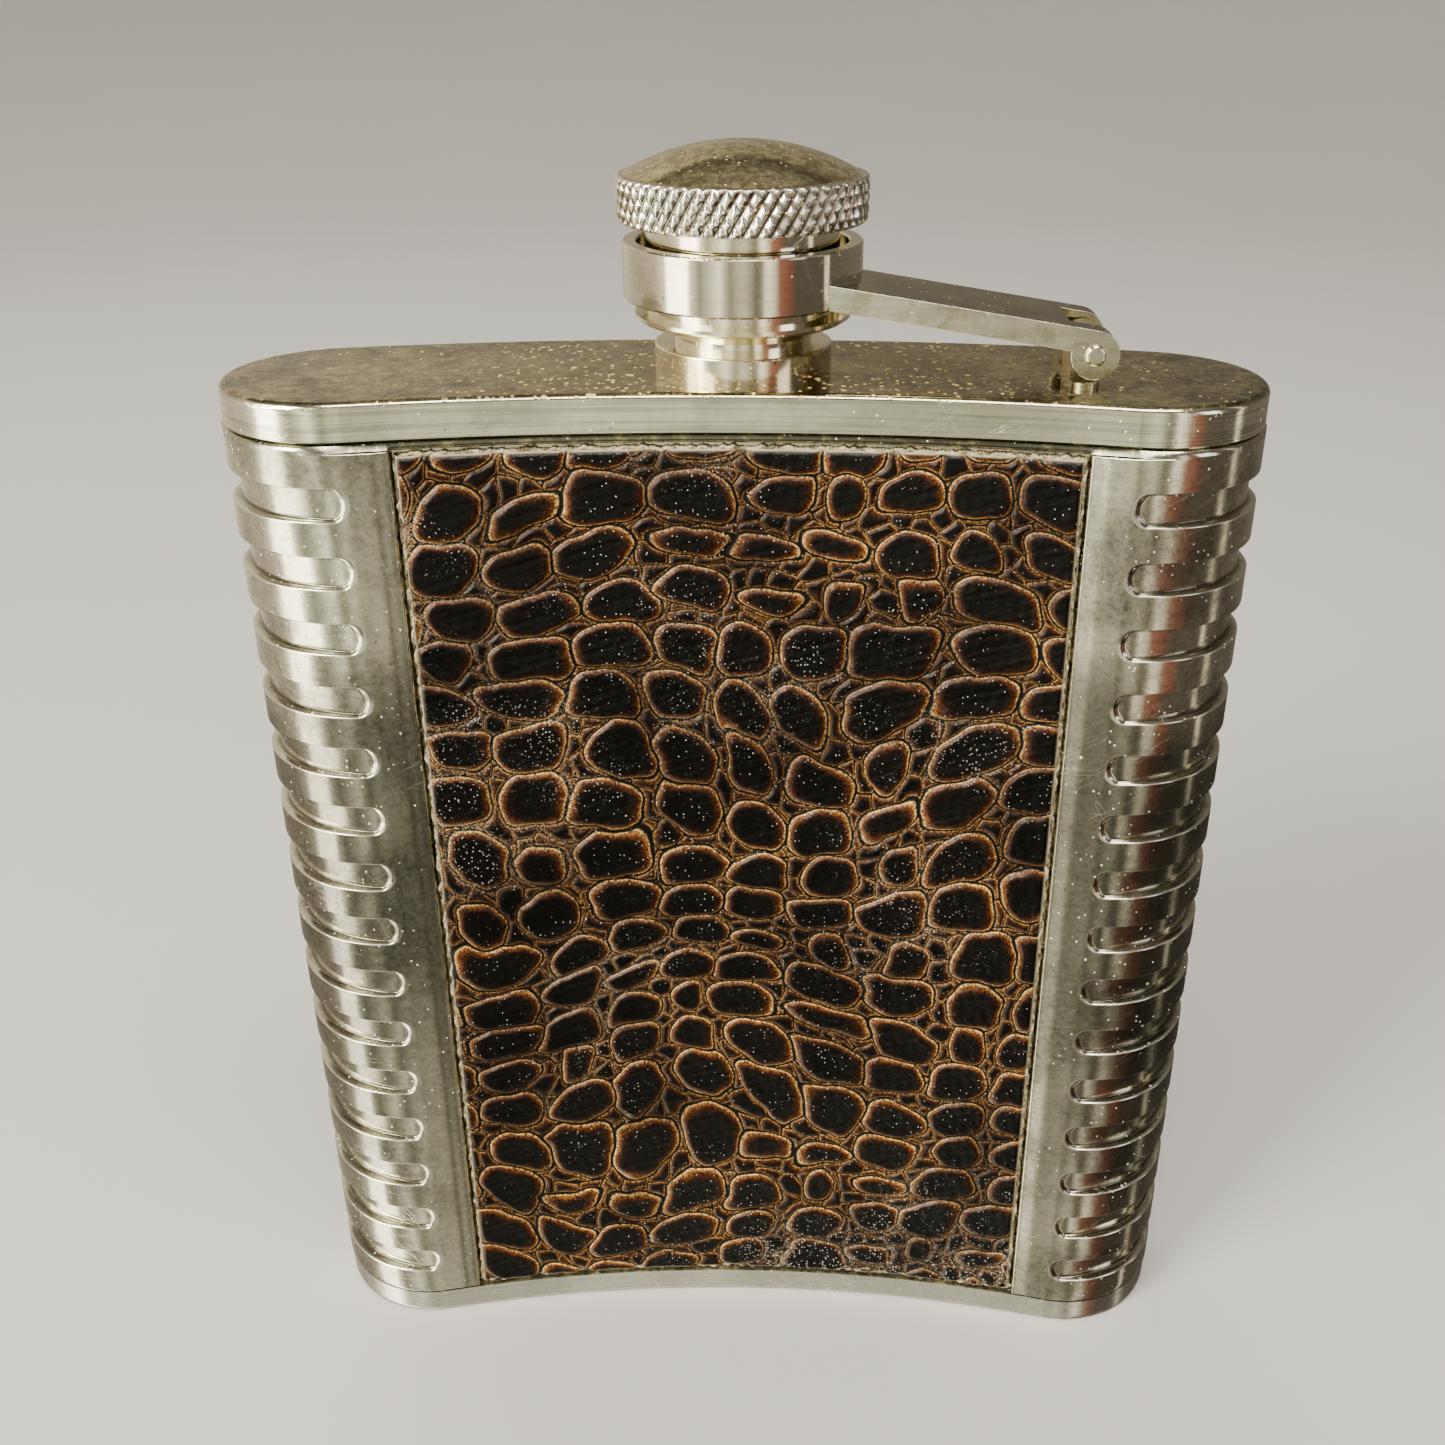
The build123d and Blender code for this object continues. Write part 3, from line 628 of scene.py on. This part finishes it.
# ---- Material helpers ----------------------------------------------------------------------------------
class Shader:
    """A material's node tree, built by calls that return sockets."""

    def __init__(self, name):
        self.material = bpy.data.materials.new(name)
        self.material.use_nodes = True
        self.tree = self.material.node_tree
        self.tree.nodes.clear()
        self.coordinates = self.add("ShaderNodeTexCoord").outputs["Object"]

    @classmethod
    def on(cls, tree):
        """The same calls on a tree that isn't a material's."""
        shader = cls.__new__(cls)
        shader.tree = tree
        return shader

    def add(self, kind, inputs=None, **settings):
        node = self.tree.nodes.new(kind)
        for key, value in settings.items():
            setattr(node, key, value)
        for key, value in (inputs or {}).items():
            socket = node.inputs[key]
            if isinstance(value, bpy.types.NodeSocket):
                self.tree.links.new(value, socket)
            else:
                socket.default_value = value
        return node

    def math(self, operation, a, b=0.0, clamp=False):
        return self.add("ShaderNodeMath", {0: a, 1: b}, operation=operation, use_clamp=clamp).outputs[0]

    def times(self, a, b):
        return self.math("MULTIPLY", a, b)

    def plus(self, a, b, clamp=False):
        return self.math("ADD", a, b, clamp)

    def larger(self, a, b):
        return self.math("MAXIMUM", a, b)

    def stretched(self, scale, turn=(0.0, 0.0, 0.0)):
        """Object coordinates, turned and then multiplied by scale along each axis."""
        turned = self.add("ShaderNodeMapping", {"Vector": self.coordinates, "Rotation": turn})
        return self.add("ShaderNodeMapping", {"Vector": turned.outputs[0], "Scale": scale}).outputs[0]

    def noise(self, scale, detail=3.0, roughness=0.55, vector=None):
        inputs = {"Vector": vector or self.coordinates, "Scale": scale}
        inputs.update({"Detail": detail, "Roughness": roughness})
        return self.add("ShaderNodeTexNoise", inputs).outputs["Fac"]

    def step(self, value, low, high):
        """0 below low, 1 above high and smooth between.  With low above high it falls instead of rising."""
        inputs = {"Value": value, "From Min": low, "From Max": high}
        return self.add("ShaderNodeMapRange", inputs, interpolation_type="SMOOTHSTEP").outputs[0]

    def mix(self, share, a, b):
        inputs = {"Factor": share, 6: a, 7: b}
        return self.add("ShaderNodeMix", inputs, data_type="RGBA").outputs[2]

    def tinted(self, color, tint):
        inputs = {"Factor": 1.0, 6: color, 7: tint}
        return self.add("ShaderNodeMix", inputs, data_type="RGBA", blend_type="MULTIPLY").outputs[2]

    def blend(self, share, a, b):
        """A number between a and b."""
        return self.add("ShaderNodeMix", {"Factor": share, 2: a, 3: b}, data_type="FLOAT").outputs[0]

    def ramp(self, value, stops):
        """A colour read off a list of (place from 0 to 1, colour)."""
        node = self.add("ShaderNodeValToRGB", {"Fac": value})
        elements = node.color_ramp.elements
        elements.remove(elements[1])
        for index, (place, color) in enumerate(stops):
            element = elements[0] if index == 0 else elements.new(place)
            element.position = place
            element.color = color
        return node.outputs["Color"]

    def attribute(self, name):
        return self.add("ShaderNodeAttribute", attribute_name=name).outputs["Fac"]

    def specks(self, cell, size, share):
        """1 on small round specks: about one in each cell (metres across), kept for share of the cells."""
        voronoi = self.add("ShaderNodeTexVoronoi", {"Vector": self.coordinates, "Scale": 1.0 / cell})
        picked = self.add("ShaderNodeSeparateColor", {"Color": voronoi.outputs["Color"]}).outputs[0]
        kept = self.math("GREATER_THAN", picked, 1.0 - share)
        return self.times(kept, self.step(voronoi.outputs["Distance"], size, size * 0.6))

    def scratches(self, length, width, seed):
        """1 on fine lines of three directions; length and width are rough sizes in metres."""
        total = 0.0
        for k, turn in enumerate(((0.3, 0.5, 0.2), (1.2, -0.6, 0.9), (-0.7, 0.2, 1.9))):
            line = self.stretched((1 / length, 1 / length, 1 / width), turn)
            shifted = self.add("ShaderNodeVectorMath", {0: line, 1: (seed * 3.1 + k, seed, k)}).outputs[0]
            noise = self.noise(1.0, 1.0, 0.4, shifted)
            ridge = self.math("ABSOLUTE", self.math("SUBTRACT", noise, 0.66))
            total = self.larger(self.step(ridge, 0.005, 0.001), total)
        return self.times(total, self.step(self.noise(120.0), 0.45, 0.65))

    def finish(self, color, metallic, roughness, height, bump_distance, normal=None, **extra):
        bump_inputs = {"Height": height, "Strength": 1.0, "Distance": bump_distance}
        if normal is not None:
            bump_inputs["Normal"] = normal
        bump = self.add("ShaderNodeBump", bump_inputs)
        inputs = {"Base Color": color, "Metallic": metallic, "Roughness": roughness, **extra}
        surface = self.add("ShaderNodeBsdfPrincipled", {**inputs, "Normal": bump.outputs[0]})
        output = self.add("ShaderNodeOutputMaterial")
        self.tree.links.new(surface.outputs[0], output.inputs["Surface"])
        return self.material


def assign(piece, material):
    piece.data.materials.clear()
    piece.data.materials.append(material)


# ---- Materials -----------------------------------------------------------------------------------------
def steel(name, light, dark, roughness, dust=0.0, dust_color=GOLDEN_DUST, marks=None, worn_and_lit_edges=False,
          ripple=9.0, brushed=1.0, seed=1.0):
    """Worn polished steel: cloudy stains, fine brushed lines, scratches and a scatter of dust.

    marks(shader, color) may stain the colour or paint light and shade on it; it returns the new colour and a
    0..1 share of grime.
    """
    s = Shader(name)
    clouds = s.step(s.noise(85.0, 5.0, 0.6), 0.38, 0.66)
    mottle = s.noise(1700.0, 6.0, 0.75)
    lines = s.noise(1.0, 2.0, 0.5, s.stretched((25.0, 25.0, 2500.0)))
    scratch = s.scratches(0.02, 0.0007, seed)
    stain = s.plus(s.times(clouds, 0.60), s.times(s.step(mottle, 0.42, 0.66), 0.30))
    color = s.mix(stain, light, dark)
    pits = s.times(s.specks(0.0011, 0.20, 0.35), s.step(s.noise(230.0, 3.0), 0.45, 0.62))
    color = s.mix(s.times(pits, 0.55), color, GRIME)
    color = s.mix(s.times(s.step(lines, 0.42, 0.66), 0.30 * brushed), color, dark)
    shine = s.blend(clouds, roughness, roughness + 0.10)
    shine = s.plus(shine, s.times(s.math("SUBTRACT", lines, 0.5), 0.16 * brushed))
    shine = s.plus(shine, s.times(scratch, 0.12), clamp=True)
    fine = s.specks(0.0005, 0.24, dust)
    coarse = s.specks(0.0019, 0.10, dust)
    specks = s.larger(fine, coarse)
    specks = s.times(specks, s.step(s.noise(160.0, 3.0), 0.36, 0.6))
    if marks is not None:
        color, near = marks(s, color)
        flecks = s.larger(s.specks(0.0007, 0.34, 0.5), s.specks(0.0014, 0.26, 0.5))
        specks = s.larger(specks, s.times(near, flecks))
    color = s.mix(specks, color, dust_color)
    metallic = s.math("SUBTRACT", 1.0, s.times(specks, 0.8))
    shine = s.blend(specks, shine, 0.6)
    swell = s.noise(1.0, 1.0, 0.4, s.stretched((95.0, 95.0, 22.0)))
    height = s.plus(s.times(lines, 0.25 * brushed), s.times(swell, ripple))
    height = s.math("SUBTRACT", height, s.times(s.plus(scratch, pits), 0.4))
    height = s.plus(height, s.times(specks, 3.0))
    if worn_and_lit_edges:
        softened = s.add("ShaderNodeBevel", {"Radius": 0.11 * MM}, samples=6).outputs[0]
        normal = s.add("ShaderNodeNewGeometry").outputs["Normal"]
        agree = s.add("ShaderNodeVectorMath", {0: softened, 1: normal}, operation="DOT_PRODUCT")
        # bright rims on sharp edges: edge wear and a painted edge highlight
        edge = s.step(agree.outputs["Value"], 0.995, 0.93)
        color = s.mix(s.times(edge, 0.8), color, WORN_EDGE_AND_HIGHLIGHT)
        return s.finish(color, metallic, shine, height, 0.00001, softened)
    return s.finish(color, metallic, shine, height, 0.00001)


def seam_grime_and_groove_light(s, color):
    """Painted highlight on the grooves' lips and painted shade in their corners, and grime in the seams under
    the lid and over the base.
    """
    # painted highlight on the grooves' lips
    worn = s.attribute("lip_highlight")
    color = s.mix(s.times(worn, 0.85), color, PAINTED_LIP_HIGHLIGHT)
    # painted shade in the grooves' corners
    corner_shade = s.attribute("corner_shade")
    color = s.mix(s.times(corner_shade, 0.80), color, PAINTED_CORNER_SHADE)
    parts = s.add("ShaderNodeSeparateXYZ", {"Vector": s.coordinates})
    height = parts.outputs["Z"]
    above = s.math("GREATER_THAN", height, (RIB_ZONE_TOP - 0.06) * MM)
    below = s.math("LESS_THAN", height, (RIB_ZONE_BOTTOM + 0.06) * MM)
    away = s.math("ABSOLUTE", parts.outputs["X"])
    middle = s.step(away, FLUSH_AT * MM, FLUSH_FROM * MM)
    seam = s.larger(s.times(above, middle), below)
    patches = s.step(s.noise(900.0, 4.0, 0.7), 0.50, 0.66)
    grime = s.mix(patches, (0.12, 0.115, 0.08, 1), (0.42, 0.36, 0.22, 1))
    return s.mix(s.times(seam, 0.85), color, grime), 0.0


def arm_grime_and_painted_shade(s, color):
    """Painted shade darkens the arm's up-facing flat back against its cheeks, with golden grime along it."""
    normal = s.add("ShaderNodeTexCoord").outputs["Normal"]
    facing = s.add("ShaderNodeSeparateXYZ", {"Vector": normal}).outputs["Z"]
    # painted shade: the up-facing back is darkened against the cheeks
    back = s.step(facing, 0.5, 0.85)
    color = s.mix(back, color, s.tinted(color, (0.25, 0.225, 0.175, 1)))
    patches = s.step(s.noise(420.0, 5.0, 0.7), 0.50, 0.64)
    return s.mix(s.times(patches, 0.45), color, ARM_DIRT), 0.0


def lid_grime_and_painted_reflection(s, color):
    """The lid's flat top is tinted darker than its skirt, a painted reflection of the dark surroundings over
    mottled grain, and grimy towards the neck.
    """
    parts = s.add("ShaderNodeSeparateXYZ", {"Vector": s.coordinates})
    on_top = s.step(parts.outputs["Z"], (LID_TOP - 0.5) * MM, (LID_TOP - 0.05) * MM)
    grain = s.step(s.noise(1100.0, 6.0, 0.8), 0.44, 0.60)
    drift = s.step(s.noise(230.0, 5.0, 0.75), 0.40, 0.60)
    smoke = s.step(s.noise(75.0, 4.0, 0.6), 0.36, 0.62)
    total = 0.0
    for value, share in ((grain, 0.45), (drift, 0.25), (smoke, 0.30)):
        total = s.plus(s.times(value, share), total)
    tint = s.mix(total, (0.03, 0.025, 0.014, 1), (0.90, 0.80, 0.56, 1))
    brushed = s.step(s.noise(1.0, 3.0, 0.6, s.stretched((40.0, 40.0, 4200.0))), 0.50, 0.62)
    color = s.mix(s.times(brushed, 0.60), color, (0.42, 0.43, 0.33, 1))
    # the top's tint: mottled grain, and a painted reflection darkening the top against the skirt
    color = s.mix(on_top, color, s.tinted(color, tint))
    flat = s.add("ShaderNodeCombineXYZ", {"X": parts.outputs["X"], "Y": parts.outputs["Y"]})
    distance = s.add("ShaderNodeVectorMath", {0: flat.outputs[0]}, operation="LENGTH").outputs["Value"]
    patches = s.step(s.noise(600.0, 5.0, 0.7), 0.38, 0.56)
    from_hinge = {0: flat.outputs[0], 1: (HINGE_FOOT * MM, 0.0, 0.0)}
    foot = s.add("ShaderNodeVectorMath", from_hinge, operation="DISTANCE")
    at_foot = s.step(foot.outputs["Value"], *HINGE_GRIME)
    grimy = s.larger(s.step(distance, *NECK_GRIME), at_foot)
    near = s.times(s.times(grimy, on_top), patches)
    scatter = s.times(on_top, s.step(s.noise(120.0, 3.0), 0.46, 0.56))
    near = s.larger(near, s.times(scatter, s.specks(0.002, 0.5, 0.5)))
    return s.mix(s.times(near, 0.6), color, GRIME), near


def cap_marks(s, color):
    """A tarnished dome, and dirt in the knurl's grooves."""
    height = s.add("ShaderNodeSeparateXYZ", {"Vector": s.coordinates}).outputs["Z"]
    dome = s.step(height, (GRIP_TOP - 0.1) * MM, (GRIP_TOP + 0.1) * MM)
    grain = s.step(s.noise(1000.0, 6.0, 0.8), 0.42, 0.62)
    tint = s.mix(grain, (0.42, 0.36, 0.22, 1), (0.98, 0.90, 0.63, 1))
    color = s.mix(dome, color, s.tinted(color, tint))
    hollow = s.step(s.attribute("hollow"), 0.36, 0.86)
    return s.mix(s.times(hollow, 0.85), color, KNURL_DIRT), s.times(hollow, 0.5)


def leather_material():
    """Embossed leather: scales near black with glowing tan rims, painted sparkle on them, dark creases, dust
    and frosted patches.
    """
    s = Shader("patterned_leather")
    depth = s.attribute("depth_in")
    large = s.attribute("is_large")
    wander = s.times(s.math("SUBTRACT", s.noise(900.0, 3.0), 0.5), 0.5)
    steadied = s.times(wander, s.step(depth, 0.15, 0.5))
    place = s.math("DIVIDE", s.plus(depth, steadied), s.blend(large, 0.58 * SCALE_REACH, SCALE_REACH))
    color = s.ramp(place, SCALE_COLORS)
    # pores darken where the noise runs low; painted sparkle highlights brighten the rims where it runs high
    pores_and_sparkle = s.step(s.noise(4800.0, 2.0, 0.6), 0.40, 0.58)
    color = s.mix(pores_and_sparkle, s.tinted(color, (0.20, 0.165, 0.14, 1)), s.tinted(color, (1.75, 1.60, 1.30, 1)))
    color = s.mix(large, s.tinted(color, (0.50, 0.46, 0.40, 1)), color)
    shade = s.times(s.step(s.noise(70.0, 4.0), 0.36, 0.64), 0.95)
    color = s.mix(shade, color, s.tinted(color, (0.30, 0.26, 0.24, 1)))
    grain = s.noise(5200.0, 2.0, 0.6)
    frosted = s.step(s.noise(45.0, 3.0), 0.50, 0.68)
    crease = s.times(s.step(depth, 0.50, 0.06), s.times(frosted, s.step(grain, 0.52, 0.64)))
    color = s.mix(s.times(crease, 0.7), color, CREASE_DUST)
    dust = s.larger(s.specks(0.0007, 0.09, 0.24), s.specks(0.00038, 0.19, 0.32))
    dust = s.larger(dust, s.times(frosted, s.specks(0.0003, 0.32, 0.42)))
    dust = s.times(dust, s.step(s.noise(110.0, 4.0), 0.42, 0.58))
    color = s.mix(s.times(dust, 0.8), color, PALE_DUST)
    cut = s.attribute("cut_edge")
    color = s.mix(cut, color, CUT_EDGE)
    uneven = s.times(s.math("SUBTRACT", s.noise(260.0, 4.0), 0.5), 0.22)
    shine = s.plus(s.blend(s.step(depth, 0.1, 0.7), 0.42, 0.27), uneven, clamp=True)
    shine = s.blend(s.larger(cut, dust), shine, 0.85)
    height = s.plus(grain, s.times(s.noise(1500.0, 3.0), 1.5))
    return s.finish(color, 0.0, shine, height, 0.00002, **{"Specular IOR Level": 0.2})


def cloth_material():
    """Pale, coarsely woven cloth, stained in patches."""
    s = Shader("backing_cloth")
    threads = {"Vector": s.coordinates, "Scale": 900.0}
    across = s.add("ShaderNodeTexWave", threads, bands_direction="X").outputs[1]
    along = s.add("ShaderNodeTexWave", threads, bands_direction="Z").outputs[1]
    weave = s.larger(across, along)
    stain = s.step(s.noise(900.0, 5.0, 0.7), 0.40, 0.62)
    color = s.mix(stain, (0.62, 0.55, 0.36, 1), (0.12, 0.095, 0.05, 1))
    return s.finish(color, 0.0, 0.9, s.plus(weave, s.noise(3000.0)), 0.00006)


def rubber_material():
    s = Shader("gasket_rubber")
    cloud = s.noise(600.0, 4.0)
    color = s.mix(cloud, (0.03, 0.03, 0.03, 1), (0.09, 0.085, 0.08, 1))
    return s.finish(color, 0.0, s.blend(cloud, 0.55, 0.8), s.noise(4000.0), 0.00004)


# ---- The object ----------------------------------------------------------------------------------------
def build_pieces():
    body = build_body()
    assign(body, steel("body_steel", (0.76, 0.725, 0.575, 1), (0.13, 0.125, 0.09, 1), 0.11, dust=0.16,
                       dust_color=PALE_DUST, marks=seam_grime_and_groove_light, ripple=34.0, brushed=0.3, seed=2.0))
    add_piece(body, "flask", "body_shell")
    leather, cloth = leather_material(), cloth_material()
    for side, name, seed in ((HIP_SIDE, "hip_side", 11), (OUTER_SIDE, "outer_side", 47)):
        panel = build_leather(name + "_leather", side, seed)
        assign(panel, leather)
        add_piece(panel, "flask", name + "_leather")
        sheet = build_backing(name + "_backing", side, seed + 5)
        assign(sheet, cloth)
        add_piece(sheet, "flask", name + "_backing")
    cap = build_cap()
    assign(cap, steel("cap_steel", (1.0, 0.98, 0.88, 1), (0.92, 0.86, 0.70, 1), 0.13, dust=0.22,
                      marks=cap_marks, seed=3.0))
    add_piece(cap, "cap", "cap_shell")


def add_piece(piece, body, node):
    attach(piece, body)
    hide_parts(node)


def dress_frame():
    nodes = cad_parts
    bracket = steel("bracket_steel", (0.74, 0.66, 0.45, 1), (0.34, 0.28, 0.15, 1), 0.22, dust=0.5, seed=9.0)
    lid = steel("lid_steel", (1.0, 0.99, 0.79, 1), (0.60, 0.60, 0.45, 1), 0.09, dust=0.06, marks=lid_grime_and_painted_reflection,
                seed=4.0)
    arm = steel("arm_steel", (0.79, 0.76, 0.60, 1), (0.43, 0.40, 0.27, 1), 0.14, dust=0.14, marks=arm_grime_and_painted_shade,
                worn_and_lit_edges=True, ripple=20.0, seed=5.0)
    ring = steel("ring_steel", (0.84, 0.78, 0.62, 1), (0.56, 0.51, 0.38, 1), 0.05, dust=0.02, worn_and_lit_edges=True,
                 ripple=25.0, seed=6.0)
    neck = steel("neck_steel", (1.0, 0.94, 0.72, 1), (0.78, 0.69, 0.48, 1), 0.11, dust=0.10, seed=7.0)
    base = steel("base_steel", (0.88, 0.86, 0.77, 1), (0.56, 0.54, 0.46, 1), 0.20, dust=0.05, seed=8.0)
    finishes = {
        "top_lid": lid, "base_pan": base, "neck_tube": neck, "neck_collar": neck, "hinge_bracket": bracket,
        "arm_channel": arm, "captive_ring": ring, "hinge_pin": ring, "cap_bush": neck,
        "retaining_flange": neck, "cap_gasket": rubber_material(),
    }
    for name, material in finishes.items():
        assign(nodes[name], material)


# ---- Stage ---------------------------------------------------------------------------------------------
# Light that polished steel mirrors in each direction: (degrees from +X towards +Y, colour).  A bright soft
# box stands at the front left, narrow pale strips in front, and a brown card and dark room at the right.
ROOM = [
    (-180, (0.27, 0.235, 0.185)), (-167, (0.48, 0.44, 0.355)), (-162, (2.50, 2.38, 2.00)),
    (-143, (2.90, 2.75, 2.30)), (-139, (0.50, 0.48, 0.39)), (-130, (0.16, 0.16, 0.12)),
    (-120, (0.34, 0.33, 0.26)), (-110, (0.66, 0.64, 0.53)), (-105, (0.32, 0.31, 0.245)),
    (-99, (0.14, 0.135, 0.10)), (-91, (0.28, 0.28, 0.215)), (-86, (0.31, 0.305, 0.24)),
    (-81, (0.22, 0.21, 0.16)), (-76, (0.08, 0.077, 0.055)), (-71, (0.12, 0.11, 0.085)),
    (-66, (0.62, 0.58, 0.48)), (-61, (0.46, 0.42, 0.34)),
    (-55, (0.14, 0.066, 0.045)), (-45, (0.095, 0.039, 0.028)), (-38, (0.042, 0.035, 0.027)),
    (-6, (0.04, 0.036, 0.03)), (-4, (0.42, 0.38, 0.30)), (0, (0.42, 0.38, 0.30)),
    (2, (0.045, 0.04, 0.032)), (60, (0.06, 0.053, 0.042)), (90, (0.115, 0.10, 0.072)),
    (122, (0.31, 0.27, 0.20)), (145, (0.24, 0.21, 0.165)), (165, (0.24, 0.205, 0.16)),
]


def room_color(s, direction):
    """The mirrored room's colour in a direction; straight up is a plain pale ceiling."""
    split = s.add("ShaderNodeSeparateXYZ", {0: direction})
    angle = s.math("ARCTAN2", split.outputs["Y"], split.outputs["X"])
    full_turn = {"Value": angle, "From Min": -math.pi, "From Max": math.pi}
    share = s.add("ShaderNodeMapRange", full_turn).outputs[0]
    stops = [((degrees + 180) / 360, (*color, 1)) for degrees, color in ROOM]
    around = s.ramp(share, stops + [(1.0, stops[0][1])])
    return s.mix(s.step(split.outputs["Z"], 0.55, 0.9), around, (0.62, 0.585, 0.50, 1))


def backdrop_material():
    """Pale and matt to the eye; polished metal sees the darker room in it."""
    s = Shader("pale_backdrop")
    color = s.mix(s.noise(6.0, 4.0), (0.56, 0.55, 0.52, 1), (0.62, 0.61, 0.58, 1))
    matt = s.add("ShaderNodeBsdfDiffuse", {"Color": color})
    geometry = s.add("ShaderNodeNewGeometry")
    incoming, position = geometry.outputs["Incoming"], geometry.outputs["Position"]
    away = s.add("ShaderNodeVectorMath", {0: incoming, 1: (-1, -1, -1)}, operation="MULTIPLY")
    distance = s.add("ShaderNodeVectorMath", {0: position}, operation="LENGTH").outputs["Value"]
    outer_floor = s.blend(s.step(distance, 0.185, 0.21), 1.0, 3.1)
    underfoot = s.times(s.step(distance, 0.10, 0.0), 1.9)
    brightness = s.plus(outer_floor, underfoot)
    room = s.add("ShaderNodeEmission", {"Color": room_color(s, away.outputs[0]), "Strength": brightness})
    rays = s.add("ShaderNodeLightPath")
    mirrored = rays.outputs["Is Glossy Ray"]
    shown = s.add("ShaderNodeMixShader", {0: mirrored, 1: matt.outputs[0], 2: room.outputs[0]})
    output = s.add("ShaderNodeOutputMaterial")
    s.tree.links.new(shown.outputs[0], output.inputs["Surface"])
    return s.material


def build_backdrop():
    """A round floor that curves up into a wall on every side."""
    radius, bend, height, columns = 1.7, 0.9, 1.4, 96
    arc = [math.radians(a) for a in range(0, 91, 5)]
    profile = [(radius - bend + bend * math.sin(a), bend - bend * math.cos(a)) for a in arc]
    profile.append((radius, height))
    around = [2 * math.pi * c / columns for c in range(columns)]
    points = [(r * math.cos(a), r * math.sin(a), z) for r, z in profile for a in around]
    centre = len(points)
    points.append((0.0, 0.0, 0.0))
    faces = [tuple(face) for face in grid_faces(len(profile), columns, wrap=True, flip=True).tolist()]
    faces += [(centre, c, (c + 1) % columns) for c in range(columns)]
    backdrop = link_mesh("backdrop", points, faces)
    assign(backdrop, backdrop_material())


def area_light(name, place, target, size, power, color):
    data = bpy.data.lights.new(name, "AREA")
    data.shape = "RECTANGLE"
    data.size, data.size_y = size
    data.energy = power
    data.color = color
    light = bpy.data.objects.new(name, data)
    light.location = place
    aim = Vector(target) - Vector(place)
    light.rotation_euler = aim.to_track_quat("-Z", "Y").to_euler()
    bpy.context.scene.collection.objects.link(light)
    return light


def build_lights():
    heart = (0.0, 0.0, 0.06)
    area_light("window_left", (-0.52, -0.47, 0.50), heart, (0.30, 0.40), 11.0, (1.0, 0.95, 0.84))
    area_light("overhead_front", (0.08, -0.30, 0.85), heart, (0.45, 0.25), 6.0, (1.0, 0.96, 0.88))
    back = area_light("soft_back", (-0.25, 0.60, 0.90), heart, (0.60, 0.60), 5.0, (1.0, 0.97, 0.92))
    back.visible_glossy = False
    area_light("fill_right", (0.70, -0.50, 0.35), heart, (0.25, 0.50), 1.2, (0.95, 0.95, 1.0))


def build_world():
    world = bpy.data.worlds.new("soft_room")
    world.use_nodes = True
    world.node_tree.nodes.clear()
    s = Shader.on(world.node_tree)
    direction = s.add("ShaderNodeTexCoord").outputs["Generated"]
    background = s.add("ShaderNodeBackground", {"Color": room_color(s, direction), "Strength": 0.6})
    output = s.add("ShaderNodeOutputWorld")
    s.tree.links.new(background.outputs[0], output.inputs["Surface"])
    bpy.context.scene.world = world


def build_camera():
    """The viewpoint of the photograph: in front of the hollow face and a little above the cap."""
    place = Vector((4.8, -145.8, 141.0)) * MM
    pitch, yaw = math.radians(26.9), math.radians(-1.15)
    right = Vector((math.cos(yaw), -math.sin(yaw), 0.0))
    ahead_flat = Vector((math.sin(yaw), math.cos(yaw), 0.0))
    ahead = ahead_flat * math.cos(pitch) - Vector((0, 0, math.sin(pitch)))
    up = right.cross(ahead)
    data = bpy.data.cameras.new("camera")
    data.sensor_width = 36.0
    data.lens = 39.1
    data.shift_x = -0.0284
    data.shift_y = 0.0109
    data.clip_start = 0.01
    camera = bpy.data.objects.new("camera", data)
    camera.matrix_world = Matrix.Translation(place) @ Matrix((right, up, -ahead)).transposed().to_4x4()
    bpy.context.scene.collection.objects.link(camera)
    bpy.context.scene.camera = camera


build_pieces()
dress_frame()
build_backdrop()
build_lights()
build_world()
build_camera()
bpy.context.view_layer.update()
